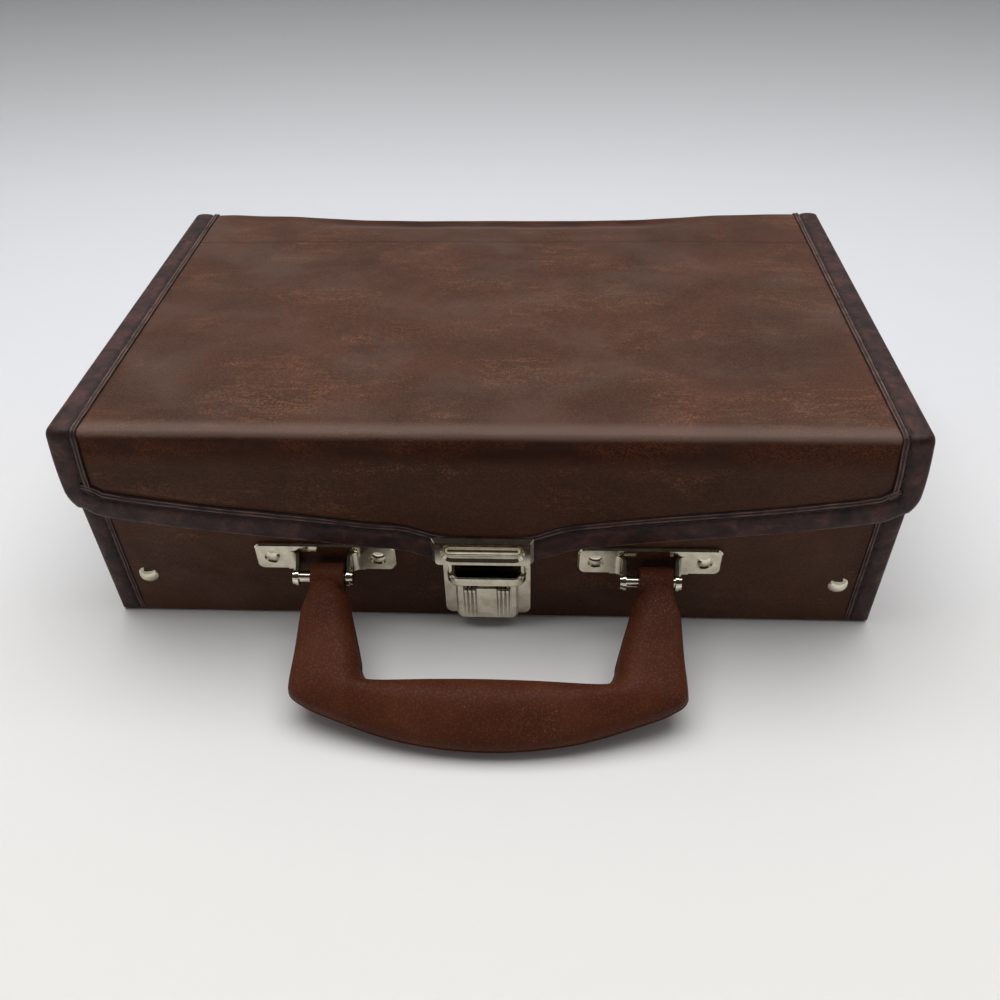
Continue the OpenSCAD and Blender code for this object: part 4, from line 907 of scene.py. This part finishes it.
def bindings():
    # the tape on the lid with the flap, on both ends of the hinge and on both sides of the body, with its stitches on
    # the lid and the body
    rim = lidRim()
    band = bindingBand("front_binding", rim, caseSize["lidSeam"])
    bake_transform(band)
    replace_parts(band, "flap_binding", "crease_tape", "left_lid_binding", "right_lid_binding")
    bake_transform(stitches("front_stitches", rim))
    for side, word in ((-1, "left"), (1, "right")):
        band = bindingBand(word + "_hinge_binding", hingeRim(side), caseSize["lidSeam"], flip=side < 0)
        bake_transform(band)
        if side > 0:
            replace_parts(band, "hinge_tape")
        rim = bodyRim(side)
        y, z = rim[0][:, 1], rim[0][:, 2]
        # flat on the base, and pressed thin where the flap lies over it
        low, over = binding["pressed"], binding["flatOver"]
        pressed = low + (1 - low) * smooth((binding["pressedFrom"] - z) / over)
        lift = smooth((z - binding["flatStart"]) / over) * np.where(y > 0, 1, pressed)
        band = bindingBand(word + "_body_rim", rim, caseSize["bodySeam"], lift, flip=side > 0)
        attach(band, "case_body")
        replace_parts(band, word + "_body_binding")
        seen = (z > binding["stitchLow"]) & (z < binding["stitchHigh"])
        for part, keep in (("front", seen & (y < 0)), ("back", seen & (y > 0))):
            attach(stitches(f"{word}_{part}_stitches", [values[keep] for values in rim]), "case_body")


bindings()
print("bindings and stitches")

handle = {
    "drop": 20.5,   # degrees below level; the rest is in mm
    "reach": 63.7, "inner": 38.4, "halfWidth": 71.0, "pitch": 123.0,
    "belly": 0.5,   # how much of the grip's extra thickness hangs below
    "eyeWidth": 12.4, "eyeRadius": 5.5, "bore": 2.15, "seam": 2.2, "seamGap": 0.12, "lip": 0.3,
    "play": 1.9,   # it has slid to the right on its pins
    "rise": (2.4, 0.55), "backFall": 1.5, "backEdge": 26,   # powers in the upper shell's section
    "round": (2.6, 0.45), "lipFade": 3,                     # and in the lower one's
    "eyeEdge": [(0, 0.7), (0.25, 0.2), (0.8, 0)],   # mm in from the eye's side, mm below its radius
    "perSpan": 9, "across": 30, "eyeSides": 48,
}


def handleKnots():
    # grip's middle to eye: inner x and reach, outer x and reach, thickness, where the crest of its back lies between
    # the inner and the outer edge, and how far the back falls off from there to the outer edge
    inner, reach, eye, half = handle["inner"], handle["reach"], handle["eyeWidth"] / 2, handle["halfWidth"]
    pin, thick = handle["pitch"] / 2, 2 * handle["eyeRadius"]
    return [
        (0, inner, 0, reach, 15, 0.4, 0.62),
        (20, inner + 0.4, 30, reach - 3, 15, 0.4, 0.6),
        (38, inner + 1.4, 57, reach - 11.2, 14.5, 0.38, 0.5),
        (43.3, inner + 0.8, 66.3, reach - 15.2, 14, 0.36, 0.42),
        (45.4, inner - 2, half - 0.8, reach - 18.2, 13.5, 0.34, 0.36),
        (46, inner - 5.4, half, reach - 22.5, 13, 0.32, 0.32),
        (48.6, inner - 14.4, half - 0.6, reach - 34, 12.2, 0.34, 0.26),
        (pin - eye - 3.6, 14, pin + eye + 2.4, 14.5, thick + 0.6, 0.4, 0.2),
        (pin - eye - 2.4, 9, pin + eye + 1.0, 9.5, thick, 0.45, 0.12),
        (pin - eye, 5.2, pin + eye, 5.2, thick - 1.2, 0.5, 0.06),
        (pin - eye, 3, pin + eye, 3, thick - 2.2, 0.5, 0.05),
    ]


def onPins(points):
    # turns a handle drawn flat, with its pins on the X axis, to its rest angle and puts it on the pins
    low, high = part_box("left_handle_pin")
    axis = (low + high) / 2 / mm
    turn = math.radians(handle["drop"])
    x, y, z = np.moveaxis(points, -1, 0)
    return np.stack([x + handle["play"], axis.y + y * math.cos(turn) - z * math.sin(turn),
                     axis.z + y * math.sin(turn) + z * math.cos(turn)], -1)


def handleShell(name, upper):
    # a loft between the inner and the outer line of the U, u = 0 to 1 across it. Upper shell: height over the seam is
    # (1 - (1 - u / c) ^ 2.4) ^ 0.55 up to the crest at c, then 1 - fall * ((u - c) / (1 - c)) ^ 1.5, rounded off by
    # (1 - u ^ 26) ^ 0.5; lower shell: (1 - |2u - 1| ^ 2.6) ^ 0.45 downwards, with a lip that stands out at the seam
    knots = np.array(handleKnots())
    stations = spline(np.vstack([(knots * [-1, 1, -1, 1, 1, 1, 1])[:0:-1], knots]), handle["perSpan"])
    innerX, innerS, outerX, outerS, thick, crest, fall = (column[:, None] for column in stations.T)
    seam = handle["seam"]
    (risePower, riseRoot), (roundPower, roundRoot) = handle["rise"], handle["round"]
    u = 0.5 - 0.5 * np.cos(math.pi * np.linspace(0, 1, handle["across"]))[None, :]
    if upper:
        risen = (1 - (1 - np.clip(u / crest, 0, 1)) ** risePower) ** riseRoot
        fallen = 1 - fall * np.clip((u - crest) / (1 - crest), 0, 1) ** handle["backFall"]
        deep = handle["seamGap"] - seam + (thick / 2 + seam) * risen * fallen * np.sqrt(1 - u ** handle["backEdge"])
    else:
        u = u[:, ::-1]
        below = thick / 2 + handle["belly"] * np.maximum(0, thick - 2 * handle["eyeRadius"])
        deep = -seam - (below - seam) * (1 - np.abs(2 * u - 1) ** roundPower) ** roundRoot
    flat = np.stack([innerX + (outerX - innerX) * u, innerS + (outerS - innerS) * u], -1)
    if not upper:
        middle = np.stack([innerX + outerX, innerS + outerS], -1) / 2
        flat = flat + unit(flat - middle) * (handle["lip"] * np.abs(2 * u - 1) ** handle["lipFade"])[..., None]
    points = np.stack([flat[..., 0], -flat[..., 1], deep], -1)
    piece = surface(name, onPins(points), "handle", loop=True, ends=True)
    give(piece, "handle")
    return piece


def handleEye(side, word):
    # a turned ring round the pin, with rounded edges: a profile of (x, radius) carried round it
    half, radius, bore = handle["eyeWidth"] / 2, handle["eyeRadius"], handle["bore"]
    edge = [(-half, bore)] + [(-half + along, radius - drop) for along, drop in handle["eyeEdge"]]
    profile = np.array(edge + [(-x, r) for x, r in edge[::-1]])
    turn = np.linspace(0, math.tau, handle["eyeSides"] + 1)[:-1, None]
    x = side * handle["pitch"] / 2 + profile[:, 0]
    ring = np.broadcast_arrays(x, profile[:, 1] * np.cos(turn), profile[:, 1] * np.sin(turn))
    piece = surface(word + "_handle_eye", onPins(np.stack(ring, -1)), "handle", loop=True, closed=True, flip=True)
    give(piece, "handle")


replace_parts(handleShell("handle_top_shell", True), "handle_upper_shell")
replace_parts(handleShell("handle_under_shell", False), "handle_lower_shell")
handleEye(-1, "left")
handleEye(1, "right")
print("handle")

spring = {"turns": 4, "perTurn": 24, "wireSides": 8, "radius": 1.3, "wire": 0.2, "travel": 3.5}   # the last three in mm


def lockSpring():
    # one unbroken coil between the lock's floor and the slide's foot: a ring of wire carried round a helix
    low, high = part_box("lock_spring")
    middle, wire, length = (low + high) / 2 / mm, spring["wire"], high.z - low.z
    turn = np.linspace(0, spring["turns"] * math.tau, spring["turns"] * spring["perTurn"] + 1)[:, None]
    ring = np.linspace(0, math.tau, spring["wireSides"] + 1)[:-1][None, :]
    out = spring["radius"] + wire * np.cos(ring)
    height = low.z / mm + wire + (length / mm - 2 * wire) * turn / turn[-1] + wire * np.sin(ring)
    coil = np.broadcast_arrays(middle.x + out * np.cos(turn), middle.y + out * np.sin(turn), height)
    piece = surface("lock_coil", np.stack(coil, -1), "case_body", loop=True, ends=True, flip=True)
    # nearly black: painted shade, as on the lock's other inner parts
    give(piece, "shadeDarkSteel")
    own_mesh(piece)
    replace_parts(piece, "lock_spring")


lockSpring()
print("lock spring")
